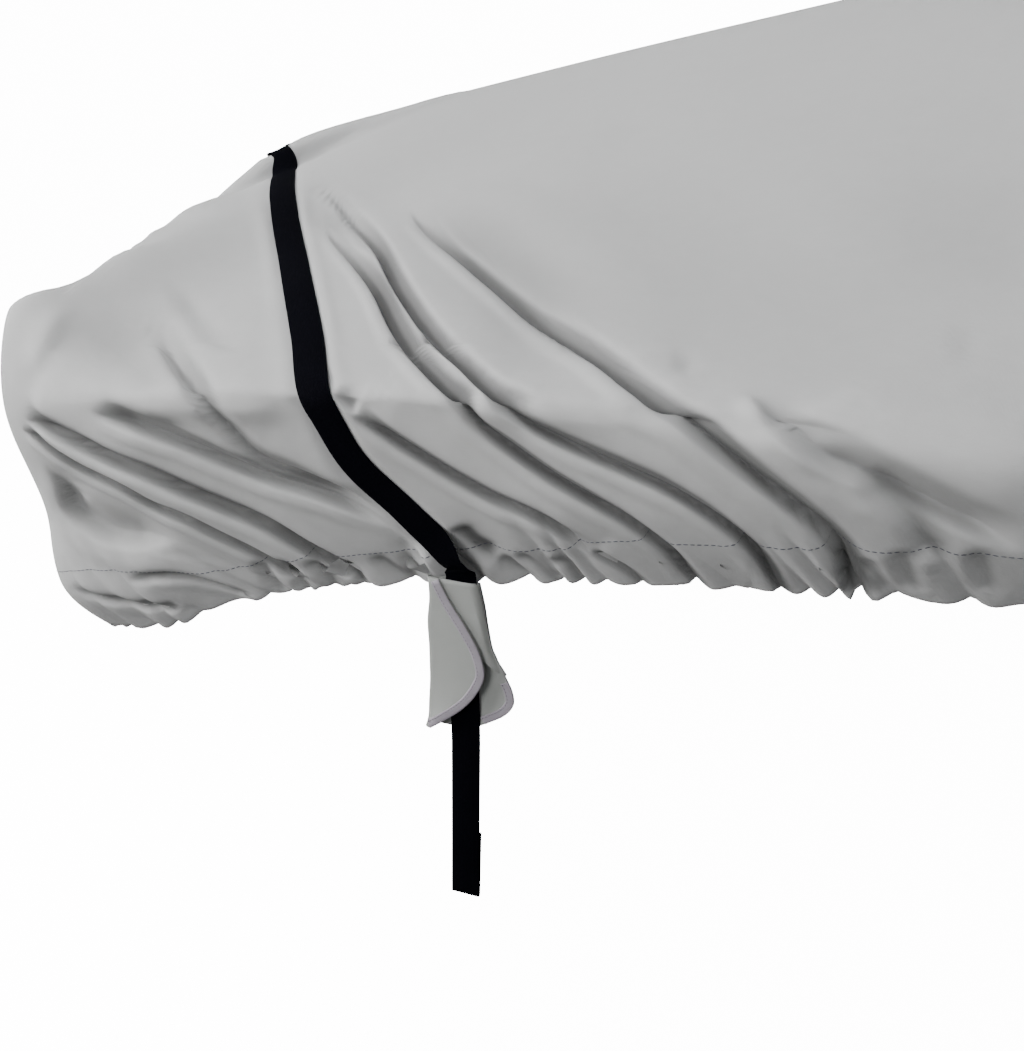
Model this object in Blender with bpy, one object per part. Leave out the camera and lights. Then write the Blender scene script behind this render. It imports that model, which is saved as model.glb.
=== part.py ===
"""Fitted boat cover for a 5 m runabout, drawn over a boat that is left out.

Frame: +X to the bow, +Y to port, +Z up, metres.  The origin is the point under the
cover's highest spot, where the boat holds it up.

The cover is one sheet.  It is laid out on ribs: each rib runs from the crest line on
the centre plane, over the shoulder and the gunwale rim, down the skirt to the
elasticated hem.  A place on the cover is (run, row): run is metres along the rim from
the middle of the stern, positive to starboard; row is 0 at the crest, 1 at mid span,
2 at the shoulder, 3 at the rim, 4 at the waist of the skirt and 5 at the hem.
"""
import math

import bmesh
import bpy
import numpy as np
from mathutils import Vector
from mathutils.bvhtree import BVHTree

# ---------------------------------------------------------------- driving dimensions
CLOTH = 0.002               # the cover's cloth with its coating
LINING_GAP = 0.0005         # air between two separate pieces that lie on each other
WEBBING_WIDTH = 0.038
WEBBING = 0.0018
WEBBING_STEP = 0.018        # length of one flat of the modelled webbing
FLAP_CLOTH = 0.0015
TAPE_WIDTH = 0.011
TAPE = 0.0010

# One row for each rib of the starboard half, from the middle of the stern to the bow.
# x, y, z: the rim; shoulder_in, shoulder_up: from the rim to the shoulder; foot_x: where
# the rib meets the crest; sag: of the cloth at mid span; tuck: of the waist; hem_in,
# hem_drop: from the rim to the hem.
RIB_COLUMNS = ("x", "y", "z", "shoulder_in", "shoulder_up", "foot_x", "sag", "tuck",
               "hem_in", "hem_drop")
RIBS = (
    (-1.835, 0.000, -0.520, 0.080, 0.094, -1.60, 0.000, 0.000, 0.135, 0.450),
    (-1.835, -0.450, -0.545, 0.080, 0.104, -1.59, 0.000, 0.000, 0.130, 0.430),
    (-1.832, -0.780, -0.615, 0.045, 0.078, -1.55, -0.016, 0.000, 0.125, 0.370),
    (-1.830, -0.960, -0.645, 0.025, 0.110, -1.49, -0.004, 0.006, 0.088, 0.330),
    (-1.765, -1.105, -0.648, 0.030, 0.120, -1.42, 0.012, 0.008, 0.058, 0.330),
    (-1.600, -1.142, -0.612, 0.070, 0.060, -1.32, 0.012, 0.000, 0.045, 0.328),
    (-1.400, -1.142, -0.578, 0.080, 0.040, -1.25, 0.012, -0.005, 0.050, 0.275),
    (-1.150, -1.140, -0.556, 0.090, 0.035, -1.10, 0.012, -0.010, 0.045, 0.231),
    (-0.800, -1.150, -0.534, 0.100, 0.030, -0.80, 0.012, -0.012, 0.045, 0.191),
    (-0.200, -1.150, -0.510, 0.100, 0.030, -0.30, -0.035, -0.010, 0.045, 0.170),
    (0.450, -1.130, -0.492, 0.100, 0.030, 0.25, -0.095, -0.010, 0.042, 0.162),
    (1.200, -1.050, -0.472, 0.100, 0.030, 0.80, -0.050, -0.010, 0.040, 0.145),
    (2.000, -0.850, -0.450, 0.100, 0.030, 1.50, -0.012, -0.010, 0.040, 0.145),
    (2.700, -0.550, -0.420, 0.090, 0.030, 2.20, 0.005, -0.010, 0.040, 0.145),
    (3.150, -0.260, -0.400, 0.080, 0.025, 2.70, 0.005, -0.010, 0.040, 0.145),
    (3.330, 0.000, -0.395, 0.080, 0.025, 2.90, 0.005, -0.010, 0.040, 0.145),
)

# The crest of the cover on the centre plane: x, z
CREST = (
    (-1.62, -0.392), (-1.30, -0.308), (-0.90, -0.207), (-0.50, -0.110), (-0.20, -0.034),
    (0.00, CLOTH), (0.25, -0.006), (0.50, -0.045), (0.90, -0.150), (1.50, -0.258),
    (2.20, -0.335), (2.90, -0.365),
)

# Main folds of the cloth.  Each runs from its start by its middle to its end, all as
# (run, row); height is along the cloth's normal, so a trough's is negative.
FOLD_COLUMNS = ("start", "middle", "end", "half_width", "height")
FOLDS = (
    # slack behind the starboard stern corner, then its skirt pinched and swelling again
    ((0.86, 1.76), (1.00, 1.82), (1.13, 1.90), 0.055, -0.028),
    ((0.84, 1.58), (0.96, 1.60), (1.08, 1.62), 0.070, -0.010),
    ((0.88, 3.35), (1.00, 3.38), (1.12, 3.42), 0.035, -0.022),
    ((0.88, 3.95), (1.00, 4.05), (1.10, 4.15), 0.055, 0.017),
    # starboard quarter, aft of the webbing
    ((1.26, 3.02), (1.44, 3.50), (1.61, 4.15), 0.022, -0.016),
    ((1.20, 3.12), (1.40, 3.72), (1.60, 4.70), 0.024, -0.020),
    ((1.14, 3.20), (1.34, 3.80), (1.52, 4.70), 0.022, -0.018),
    ((1.10, 3.45), (1.20, 3.90), (1.40, 4.22), 0.030, -0.018),
    ((1.08, 4.50), (1.24, 4.68), (1.38, 4.85), 0.022, -0.014),
    ((1.17, 1.89), (1.28, 2.15), (1.44, 2.95), 0.050, -0.014),
    # starboard side, forward of the webbing
    ((1.23, 1.16), (1.62, 1.80), (1.84, 3.10), 0.035, -0.014),
    ((1.28, 1.35), (1.76, 2.95), (2.01, 4.70), 0.026, -0.020),
    ((1.55, 1.39), (1.93, 2.20), (2.16, 4.80), 0.040, -0.026),
    ((1.61, 2.80), (1.72, 3.55), (1.92, 4.50), 0.026, -0.018),
    ((1.88, 3.05), (2.02, 3.65), (2.11, 4.80), 0.022, -0.016),
    ((1.78, 3.70), (1.86, 4.05), (1.96, 4.85), 0.018, -0.012),
    ((2.06, 2.05), (2.16, 2.80), (2.30, 4.20), 0.045, -0.022),
    ((2.26, 2.10), (2.40, 3.00), (2.55, 4.60), 0.050, -0.018),
    # forward starboard side and bow
    ((2.70, 2.20), (2.95, 3.10), (3.15, 4.70), 0.055, -0.020),
    ((3.35, 1.60), (3.70, 2.60), (3.95, 4.60), 0.060, -0.022),
    ((4.30, 2.10), (4.55, 3.10), (4.70, 4.70), 0.055, -0.018),
    ((4.95, 1.40), (5.20, 2.70), (5.45, 4.70), 0.055, -0.016),
    ((5.80, 2.20), (5.95, 3.20), (6.15, 4.70), 0.045, -0.014),
    # stern panel
    ((0.15, 2.60), (0.25, 3.60), (0.50, 4.75), 0.050, -0.020),
    ((0.55, 2.50), (0.70, 3.50), (0.86, 4.75), 0.045, -0.020),
    ((-0.10, 2.60), (-0.28, 3.70), (-0.38, 4.75), 0.050, -0.022),
    ((-0.48, 2.60), (-0.62, 3.60), (-0.84, 4.75), 0.045, -0.018),
    # port quarter and side
    ((-0.82, 1.74), (-1.00, 1.76), (-1.18, 1.80), 0.080, -0.022),
    ((-1.10, 3.20), (-1.32, 3.80), (-1.50, 4.70), 0.030, -0.020),
    ((-1.22, 2.80), (-1.45, 3.40), (-1.68, 4.60), 0.030, -0.020),
    ((-1.20, 1.90), (-1.40, 2.40), (-1.56, 3.30), 0.050, -0.014),
    ((-1.40, 1.35), (-1.80, 2.60), (-2.05, 4.70), 0.036, -0.022),
    ((-1.66, 1.45), (-2.02, 2.40), (-2.28, 4.75), 0.040, -0.022),
    ((-2.20, 2.10), (-2.42, 3.00), (-2.55, 4.70), 0.045, -0.020),
    ((-2.75, 1.80), (-3.00, 2.90), (-3.25, 4.70), 0.055, -0.022),
    ((-3.50, 2.20), (-3.72, 3.10), (-3.85, 4.70), 0.055, -0.018),
    ((-4.15, 1.50), (-4.45, 2.80), (-4.65, 4.70), 0.060, -0.020),
    ((-5.05, 2.20), (-5.25, 3.10), (-5.45, 4.70), 0.050, -0.016),
    ((-5.75, 1.90), (-5.95, 3.00), (-6.10, 4.70), 0.045, -0.014),
)
FOLD_STEPS = 10             # straight pieces that a fold's line is read in
FOLD_END = 0.15             # share of its depth that a fold has at its very ends
FOLD_FADE = 0.25            # share of its length over which it reaches full depth

# Gathers that the hem's elastic draws in: length of one wave along the run, height
GATHERS = ((0.236, 0.0055), (0.147, 0.0040))
GATHER_TOP_ROW = 3.7        # the gathers fade out at this row

# Columns of the cover's mesh, as (end of the stretch, spacing) along the run
RUN_SPACING = ((0.96, 0.096), (2.40, 0.036), (3.40, 0.100), (6.531, 0.131))
ROWS = (0.0, 0.35, 0.70, 1.00, 1.30, 1.60, 1.85, 2.15, 2.55, 3.00, 3.35, 3.70, 4.05,
        4.40, 4.72, 5.0)

# Where the webbing runs: guide points from the middle of the stern to the starboard hem
WEBBING_OVER = (
    (-1.770, 0.000, -0.420), (-1.766, -0.190, -0.425), (-1.748, -0.378, -0.436),
    (-1.703, -0.478, -0.454), (-1.611, -0.646, -0.465), (-1.468, -0.873, -0.496),
    (-1.354, -1.050, -0.532), (-1.297, -1.135, -0.569), (-1.261, -1.134, -0.637),
    (-1.199, -1.125, -0.699), (-1.156, -1.104, -0.752),
)
# and on down the hull side, clear of the cloth, to the turned-back end
WEBBING_DOWN = (
    (-1.151, -1.112, -0.772), (-1.148, -1.112, -0.785), (-1.142, -1.112, -0.850),
    (-1.139, -1.112, -0.960), (-1.141, -1.112, -1.100), (-1.144, -1.112, -1.238),
)
WEBBING_CLEAR = 0.0015      # air under the webbing where it lies on the cloth
WEBBING_START = 0.001       # height above the cloth that it starts from
WEBBING_REACH = 0.05        # how far from the webbing the cloth is looked for
LIFT_PASSES = 8
LIFT_EXTRA = 0.2            # share by which each lift goes further than it must
TURNED_BACK = 0.100         # doubled end of the webbing
TURN_RADIUS = 0.0016        # of the fold at the end, to the webbing's middle
SIDE_STEP = 0.003           # the doubled end lies this much askew

# The flap that wraps the webbing's joint.  One row for each level: drop below the top
# edge, left fold, free edge of the front leaf, free edge of the back leaf (x offsets
# from the webbing's centre line)
FLAP_TOP = -0.786
FLAP_CENTRE = -1.1405
FLAP_COLUMNS = ("drop", "fold", "front_edge", "back_edge")
BACK_TAPE_START = 3         # the back leaf's tape starts at this level
FLAP = (
    (0.000, -0.030, -0.016, 0.022),
    (0.020, -0.036, -0.003, 0.027),
    (0.050, -0.040, 0.014, 0.035),
    (0.085, -0.041, 0.029, 0.048),
    (0.110, -0.042, 0.028, 0.059),
    (0.130, -0.043, 0.022, 0.065),
    (0.148, -0.044, 0.012, 0.063),
    (0.166, -0.045, -0.004, 0.050),
    (0.180, -0.045, -0.020, 0.030),
    (0.196, -0.0455, -0.040, 0.005),
)
FLAP_FRONT_Y = 0.0039       # faces of the flap, out from the webbing's back face
FLAP_BACK_Y = -0.0036

# The flat webbing tab, sewn inside the hem, whose end shows at each stern corner
TAB_WIDTH = 0.024
TAB_THICKNESS = 0.0026
TAB_RUN = 0.985
TAB_TOP = 0.030             # above the hem's edge
TAB_DROP = 0.016            # below it
TAB_INSET = 0.0016          # from the cloth's inner face


# ---------------------------------------------------------------- shape of the cover
def smooth_column(knots, values, at):
    """Read a curve through (knots, values) at the places `at`."""
    at = np.clip(at, knots[0], knots[-1])
    step = np.diff(knots)
    slope = np.diff(values) / step
    tangent = np.empty(len(knots))
    tangent[0], tangent[-1] = slope[0], slope[-1]
    tangent[1:-1] = (slope[:-1] * step[1:] + slope[1:] * step[:-1]) / (step[1:] + step[:-1])
    i = np.clip(np.searchsorted(knots, at) - 1, 0, len(knots) - 2)
    return hermite(values[i], values[i + 1], tangent[i] * step[i], tangent[i + 1] * step[i],
                   (at - knots[i]) / step[i])


def hermite(start, end, leave, arrive, t):
    """Cubic from start to end with the given tangents."""
    return (start * (2 * t**3 - 3 * t**2 + 1) + leave * (t**3 - 2 * t**2 + t)
            + end * (3 * t**2 - 2 * t**3) + arrive * (t**3 - t**2))


def whole_loop():
    """The rib table as a loop from bow to bow, with the port half mirrored."""
    starboard = np.array(RIBS)
    port = starboard[:0:-1].copy()
    port[:, 1] *= -1
    loop = np.vstack([port, starboard])
    run = np.concatenate([[0.0], np.cumsum(np.hypot(*np.diff(loop[:, :2], axis=0).T))])
    return run - run[len(port)], loop


LOOP_RUN, LOOP_RIBS = whole_loop()
BOW_RUN = LOOP_RUN[-1]


def rib_at(run):
    """The rib table read at `run`, as a dict of columns."""
    return {name: smooth_column(LOOP_RUN, LOOP_RIBS[:, k], run)
            for k, name in enumerate(RIB_COLUMNS)}


def rib_points(run):
    """Points of the ribs at rows 0 to 5, shape (n, 6, 3)."""
    rib = rib_at(run)
    ahead, behind = rib_at(run + 0.001), rib_at(run - 0.001)
    along = np.stack([ahead["x"] - behind["x"], ahead["y"] - behind["y"]], -1)
    along /= np.linalg.norm(along, axis=-1, keepdims=True)
    rim = np.stack([rib["x"], rib["y"], rib["z"]], -1)

    def from_rim(inward, up):
        return rim + np.stack([-along[:, 1] * inward, along[:, 0] * inward, up], -1)

    crest_x, crest_z = np.array(CREST).T
    foot = np.stack([rib["foot_x"], np.zeros(len(run)),
                     smooth_column(crest_x, crest_z, rib["foot_x"])], -1)
    shoulder = from_rim(rib["shoulder_in"], rib["shoulder_up"])
    span = (foot + shoulder) / 2
    span[:, 2] -= rib["sag"]
    waist = from_rim(rib["hem_in"] * 0.45 + rib["tuck"], rib["hem_drop"] * -0.5)
    hem = from_rim(rib["hem_in"], -rib["hem_drop"])
    return np.stack([foot, span, shoulder, rim, waist, hem], 1)


def cover_points(run, row):
    """The unfolded cover at (run, row): a curve that never overshoots its points."""
    points = rib_points(run)
    step = np.linalg.norm(np.diff(points, axis=1), axis=-1)[..., None]
    slope = np.diff(points, axis=1) / step
    before, after = slope[:, :-1], slope[:, 1:]
    first, second = 2 * step[:, 1:] + step[:, :-1], step[:, 1:] + 2 * step[:, :-1]
    tangent = np.zeros_like(points)
    tangent[:, 0], tangent[:, -1] = slope[:, 0], slope[:, -1]
    same_way = before * after > 0
    blend = (first + second) / (first / np.where(same_way, before, 1)
                                + second / np.where(same_way, after, 1))
    tangent[:, 1:-1] = np.where(same_way, blend, 0)
    i = np.clip(np.floor(row).astype(int), 0, 4)
    n = np.arange(len(run))
    return hermite(points[n, i], points[n, i + 1], tangent[n, i] * step[n, i],
                   tangent[n, i + 1] * step[n, i], (row - i)[:, None])


def fold_path(start, middle, end):
    """Points along a fold, on the unfolded cover."""
    t = np.linspace(0, 1, FOLD_STEPS)
    a, b, c = (np.array(p)[:, None] for p in (start, middle, end))
    run, row = (a * (1 - t) * (1 - 2 * t) + b * 4 * t * (1 - t) + c * t * (2 * t - 1))
    return cover_points(run, row)


def fold_heights(points):
    """How far the folds move each of the points along its normal."""
    height = np.zeros(len(points))
    for fold in FOLDS:
        named = dict(zip(FOLD_COLUMNS, fold))
        path = fold_path(named["start"], named["middle"], named["end"])
        nearest = np.full(len(points), np.inf)
        place = np.zeros(len(points))
        for k, (a, b) in enumerate(zip(path[:-1], path[1:])):
            t = np.clip((points - a) @ (b - a) / ((b - a) @ (b - a)), 0, 1)
            gap = np.linalg.norm(points - a - t[:, None] * (b - a), axis=1)
            closer = gap < nearest
            nearest = np.where(closer, gap, nearest)
            place = np.where(closer, (k + t) / (FOLD_STEPS - 1), place)
        ends = np.clip(np.minimum(place, 1 - place) / FOLD_FADE + FOLD_END, 0, 1)
        height += named["height"] * ends * np.exp(-((nearest / named["half_width"]) ** 2))
    return height


def gather_heights(run, row):
    """Small even waves that grow towards the hem."""
    fade = np.clip((row - GATHER_TOP_ROW) / (5 - GATHER_TOP_ROW), 0, 1) ** 1.5
    return fade * sum(h * np.sin(2 * math.pi * run / length) for length, h in GATHERS)


# ---------------------------------------------------------------- mesh helpers
def material(name, colour, roughness):
    """A plain cloth finish."""
    made = bpy.data.materials.new(name)
    made.use_nodes = True
    shader = made.node_tree.nodes["Principled BSDF"]
    shader.inputs["Base Color"].default_value = (*colour, 1)
    shader.inputs["Roughness"].default_value = roughness
    shader.inputs["Metallic"].default_value = 0.0
    return made


def add_object(name, points, faces, finish):
    """A named, smooth-shaded object from points and faces."""
    mesh = bpy.data.meshes.new(name)
    mesh.from_pydata([tuple(p) for p in points], [], faces)
    made = bpy.data.objects.new(name, mesh)
    bpy.context.scene.collection.objects.link(made)
    mesh.materials.append(finish)
    mesh.shade_smooth()
    return made


def solidify(made, thickness):
    """Give an open sheet its thickness, on the side away from its normals."""
    wall = made.modifiers.new("thickness", "SOLIDIFY")
    wall.thickness = thickness
    wall.offset = -1


def strip_faces(sections, across):
    """Triangles of an open strip of `sections` rows with `across` points each."""
    faces = []
    for i in range(sections - 1):
        for j in range(across - 1):
            a = i * across + j
            b, c, d = a + 1, a + across + 1, a + across
            faces += [(a, b, c), (a, c, d)]
    return faces


def face_outward(made, outside):
    """Turn the faces so that the first one's normal points the way of `outside`."""
    mesh = made.data
    face = mesh.polygons[0]
    if face.normal.dot(outside) < 0:
        mesh.flip_normals()


def surface_of(made):
    """Look-up tree of a sheet's outer face."""
    work = bmesh.new()
    work.from_mesh(made.data)
    tree = BVHTree.FromBMesh(work)
    work.free()
    return tree


# ---------------------------------------------------------------- the cover
def run_positions():
    """Column positions of the starboard half, stern to bow."""
    places = [0.0]
    for end, spacing in RUN_SPACING:
        start = places[-1]
        count = round((end - start) / spacing)
        places += [start + (end - start) * k / count for k in range(1, count + 1)]
    places[-1] = BOW_RUN
    return places


def make_cover(finish):
    """The one-piece cover: ribs joined into a closed bag that is open below."""
    half = run_positions()
    runs = np.array(half + [-r for r in half[-2:0:-1]])
    columns, rows = len(runs), len(ROWS)
    run = np.repeat(runs, rows)
    row = np.tile(ROWS, columns)
    flat = cover_points(run, row)
    grid = flat.reshape(columns, rows, 3)
    along = np.roll(grid, -1, 0) - np.roll(grid, 1, 0)
    down = np.gradient(grid, axis=1)
    normal = np.cross(down, along)
    normal[:, 0] = (0, 0, 1)
    normal /= np.linalg.norm(normal, axis=-1, keepdims=True)
    height = fold_heights(flat) + gather_heights(run, row)
    points = flat + normal.reshape(-1, 3) * height[:, None]

    # the crest's points are shared by the starboard and the port ribs
    last = len(half) - 1
    keep, number = [], {}
    for i in range(columns):
        for j in range(rows):
            if j == 0 and i > last:
                number[i, j] = number[columns - i, 0]
                continue
            number[i, j] = len(keep)
            keep.append(points[i * rows + j])
    faces = []
    for i in range(columns):
        k = (i + 1) % columns
        for j in range(rows - 1):
            a, b, c, d = number[i, j], number[k, j], number[k, j + 1], number[i, j + 1]
            faces += [(a, b, c), (a, c, d)] if (i + j) % 2 else [(a, b, d), (b, c, d)]
    faces = [f for f in faces if len(set(f)) == 3]
    made = add_object("cover", keep, faces, finish)
    top = max(made.data.polygons, key=lambda face: face.center.z)
    if top.normal.z < 0:
        made.data.flip_normals()
    solidify(made, CLOTH)
    return made


# ---------------------------------------------------------------- the webbing
def spline(points, spacing):
    """Evenly spaced points on a smooth curve through the given ones."""
    points = np.array(points)
    knots = np.concatenate([[0.0], np.cumsum(np.linalg.norm(np.diff(points, axis=0), axis=1))])
    count = round(knots[-1] / spacing)
    at = np.linspace(0, knots[-1], count + 1)
    return np.stack([smooth_column(knots, points[:, k], at) for k in range(3)], -1)


def across_of(path, outward):
    """Unit vectors across a strip that runs along `path` with its face to `outward`."""
    along = np.gradient(path, axis=0)
    across = np.cross(along, outward)
    return across / np.linalg.norm(across, axis=1, keepdims=True)


def lay_on(path, surface):
    """Drop the path onto the surface: its points there and the surface's normals."""
    points, normals = [], []
    for p in path:
        spot, normal, _, _ = surface.find_nearest(Vector(p))
        points.append(spot)
        normals.append(normal)
    normals = np.array(normals)
    for _ in range(3):
        normals[1:-1] = (normals[:-2] + 2 * normals[1:-1] + normals[2:]) / 4
        normals /= np.linalg.norm(normals, axis=1, keepdims=True)
    return np.array(points), normals


def lift_clear(path, normals, across, surface):
    """How far each section must rise so that the taut webbing clears the cloth."""
    lift = np.full(len(path), WEBBING_START)
    quarters = np.linspace(0, 1, 5)
    for _ in range(LIFT_PASSES):
        for i in range(len(path) - 1):
            for t, side in [(t, side) for t in quarters for side in quarters - 0.5]:
                n = Vector(normals[i] * (1 - t) + normals[i + 1] * t)
                a, b = (path[k] + across[k] * WEBBING_WIDTH * side + normals[k] * lift[k]
                        for k in (i, i + 1))
                p = Vector(a * (1 - t) + b * t)
                hit = surface.ray_cast(p + n * WEBBING_REACH, -n, 2 * WEBBING_REACH)[0]
                short = 0.0 if hit is None else WEBBING_CLEAR - (p - hit).dot(n)
                if short > 0:
                    lift[i] += short * (1 - t + LIFT_EXTRA)
                    lift[i + 1] += short * (t + LIFT_EXTRA)
    return lift


def hanging_webbing(top, side):
    """From the hem down the hull side, with the end folded up behind itself."""
    sideways = np.array((1, -side, 1))
    down = spline([top * sideways, *WEBBING_DOWN], WEBBING_STEP)[1:]
    outward = [(0, -1, 0)] * len(down)
    end = down[-1]
    for angle in np.linspace(0, math.pi, 7)[1:]:
        c, s = math.cos(angle), math.sin(angle)
        down = np.vstack([down, end + (0, TURN_RADIUS * (1 - c), -TURN_RADIUS * s)])
        outward.append((0, -c, -s))
    end = down[-1]
    for share in np.linspace(0, 1, 7)[1:]:
        down = np.vstack([down, end + (SIDE_STEP * share, 0, TURNED_BACK * share)])
        outward.append((0, 1, 0))
    return down * sideways, np.array(outward) * sideways


def make_webbing(cover, finish):
    """One webbing from the port end, over the cover, to the starboard end."""
    surface = surface_of(cover)
    guide = np.array(WEBBING_OVER)
    whole = np.vstack([guide[:0:-1] * (1, -1, 1), guide])
    over, over_out = lay_on(spline(whole, WEBBING_STEP), surface)
    over[1:-1] = (over[:-2] + 2 * over[1:-1] + over[2:]) / 4
    lift = lift_clear(over, over_out, across_of(over, over_out), surface)
    over += over_out * lift[:, None]
    port, port_out = hanging_webbing(over[0], 1)
    starboard, starboard_out = hanging_webbing(over[-1], -1)
    path = np.vstack([port[::-1], over, starboard])
    outward = np.vstack([port_out[::-1], over_out, starboard_out])
    across = across_of(path, outward)
    half = WEBBING_WIDTH / 2
    sections = []
    for p, n, a in zip(path, outward, across):
        sections += [p - a * half, p + a * half,
                     p + a * half + n * WEBBING, p - a * half + n * WEBBING]
    faces = [(0, 1, 2, 3), tuple(len(sections) - k for k in (1, 2, 3, 4))]
    for i in range(len(path) - 1):
        for j in range(4):
            a, b = 4 * i + j, 4 * i + (j + 1) % 4
            faces += [(a, a + 4, b + 4), (a, b + 4, b)]
    made = add_object("webbing", sections, faces, finish)
    fix_normals(made)
    return made


def fix_normals(made):
    """Point a closed solid's faces outwards."""
    work = bmesh.new()
    work.from_mesh(made.data)
    bmesh.ops.recalc_face_normals(work, faces=work.faces)
    work.to_mesh(made.data)
    work.free()


# ---------------------------------------------------------------- the flap
def flap_section(fold, front_edge, back_edge):
    """Across one level of the flap: front leaf, fold round the webbing, back leaf."""
    bend = (FLAP_FRONT_Y - FLAP_BACK_Y) / 2
    middle = (FLAP_FRONT_Y + FLAP_BACK_Y) / 2
    front = [(front_edge + (fold + bend - front_edge) * k / 4, FLAP_FRONT_Y) for k in range(5)]
    turn = [(fold + bend - bend * math.sin(a), middle + bend * math.cos(a))
            for a in (math.pi / 4, math.pi / 2, 3 * math.pi / 4)]
    back = [(fold + bend + (back_edge - fold - bend) * k / 6, FLAP_BACK_Y) for k in range(7)]
    return front + turn + back


def make_flap(side_name, side, finish):
    """The wrapped cloth over the webbing's joint, on one side of the boat."""
    hull_y = -WEBBING_DOWN[-1][1] * side
    points = []
    for drop, fold, front_edge, back_edge in FLAP:
        level = flap_section(fold, front_edge, back_edge)
        for x, out in level:
            points.append((FLAP_CENTRE + x, hull_y + out * side, FLAP_TOP - drop))
    made = add_object(f"flap_{side_name}", points, strip_faces(len(FLAP), len(level)), finish)
    face_outward(made, Vector((0, side, 0)))
    solidify(made, FLAP_CLOTH)
    return made


def make_tab(side_name, side, cover, finish):
    """The tab of doubled webbing inside the hem at one stern corner."""
    run = np.full(2, -TAB_RUN * side) + (0.0, 0.012)
    hem, beside = cover_points(run, np.full(2, 5.0))
    low = surface_of(cover).find_nearest(Vector(hem))[0]
    along = Vector(beside - hem)
    along.z = 0
    along.normalize()
    inward = Vector((0, 0, 1)).cross(along)
    outer = low + inward * (CLOTH + TAB_INSET)
    points = []
    for depth in (0.0, TAB_THICKNESS):
        for across, z in ((-0.5, TAB_TOP), (0.5, TAB_TOP), (0.5, -TAB_DROP), (-0.5, -TAB_DROP)):
            points.append(outer + inward * depth + along * TAB_WIDTH * across
                          + Vector((0, 0, z)))
    faces = [(0, 1, 2, 3), (7, 6, 5, 4), (0, 4, 5, 1), (1, 5, 6, 2), (2, 6, 7, 3), (3, 7, 4, 0)]
    made = add_object(f"stern_tab_{side_name}", points, faces, finish)
    fix_normals(made)
    return made


def make_tape(side_name, leaf, side, finish):
    """Binding tape on the outboard face of a leaf, along its free edge."""
    hull_y = -WEBBING_DOWN[-1][1] * side
    column = FLAP_COLUMNS.index(f"{leaf}_edge")
    edge = np.array([(row[column], -row[0]) for row in FLAP])
    if leaf == "back":
        edge = edge[BACK_TAPE_START:]
    face = FLAP_FRONT_Y if leaf == "front" else FLAP_BACK_Y + FLAP_CLOTH
    out = face + LINING_GAP + TAPE
    knots = np.arange(len(edge), dtype=float)
    at = np.linspace(0, len(edge) - 1, 2 * len(edge) - 1)
    line = np.stack([smooth_column(knots, edge[:, k], at) for k in range(2)], -1)
    along = np.gradient(line, axis=0)
    inward = np.stack([along[:, 1], -along[:, 0]], -1)
    inward /= np.linalg.norm(inward, axis=1, keepdims=True)
    points = []
    for (x, z), n in zip(line, inward):
        for width in (0.0, TAPE_WIDTH):
            points.append((FLAP_CENTRE + x + n[0] * width, hull_y + out * side,
                           FLAP_TOP + z + n[1] * width))
    made = add_object(f"binding_{leaf}_{side_name}", points, strip_faces(len(line), 2), finish)
    face_outward(made, Vector((0, side, 0)))
    solidify(made, TAPE)
    return made


# ---------------------------------------------------------------- assembly
def clear_scene():
    for old in list(bpy.data.objects):
        bpy.data.objects.remove(old, do_unlink=True)


def main():
    clear_scene()
    cloth = material("grey polyester", (0.52, 0.53, 0.53), 0.75)
    strap = material("black webbing", (0.010, 0.010, 0.016), 0.6)
    flap_cloth = material("flap cloth", (0.38, 0.39, 0.37), 0.8)
    tape = material("binding tape", (0.40, 0.36, 0.39), 0.8)
    cover = make_cover(cloth)
    make_webbing(cover, strap)
    for side_name, side in (("starboard", -1), ("port", 1)):
        make_flap(side_name, side, flap_cloth)
        make_tab(side_name, side, cover, strap)
        for leaf in ("front", "back"):
            make_tape(side_name, leaf, side, tape)


main()
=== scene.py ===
"""Fitted boat cover: the draped cloth, its webbing, flaps, bindings and stitching.

Frame: +X to the bow, +Y to port, +Z up, metres.  A place on the cover is (run, row): run
is metres along the gunwale from the middle of the stern, positive to starboard; row is 0
at the crest, 1 at mid span, 2 at the shoulder, 3 at the gunwale, 4 at the waist of the
skirt and 5 at the hem.
"""
import math

import bpy
import numpy as np
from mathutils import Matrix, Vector, noise
from mathutils.bvhtree import BVHTree


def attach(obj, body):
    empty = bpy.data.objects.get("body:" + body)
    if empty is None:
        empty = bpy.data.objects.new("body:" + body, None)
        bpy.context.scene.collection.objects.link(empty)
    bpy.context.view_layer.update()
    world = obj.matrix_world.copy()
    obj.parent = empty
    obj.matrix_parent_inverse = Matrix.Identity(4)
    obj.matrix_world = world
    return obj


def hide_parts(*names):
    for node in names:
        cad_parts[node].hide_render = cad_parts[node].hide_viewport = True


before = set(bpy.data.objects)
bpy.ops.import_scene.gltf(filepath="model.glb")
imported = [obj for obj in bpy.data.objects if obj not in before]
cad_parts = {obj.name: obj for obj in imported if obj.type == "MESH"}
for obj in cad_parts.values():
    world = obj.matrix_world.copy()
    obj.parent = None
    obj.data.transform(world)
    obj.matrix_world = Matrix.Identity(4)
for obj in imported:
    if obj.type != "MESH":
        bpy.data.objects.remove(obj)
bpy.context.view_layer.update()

BODY = "root"

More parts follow.
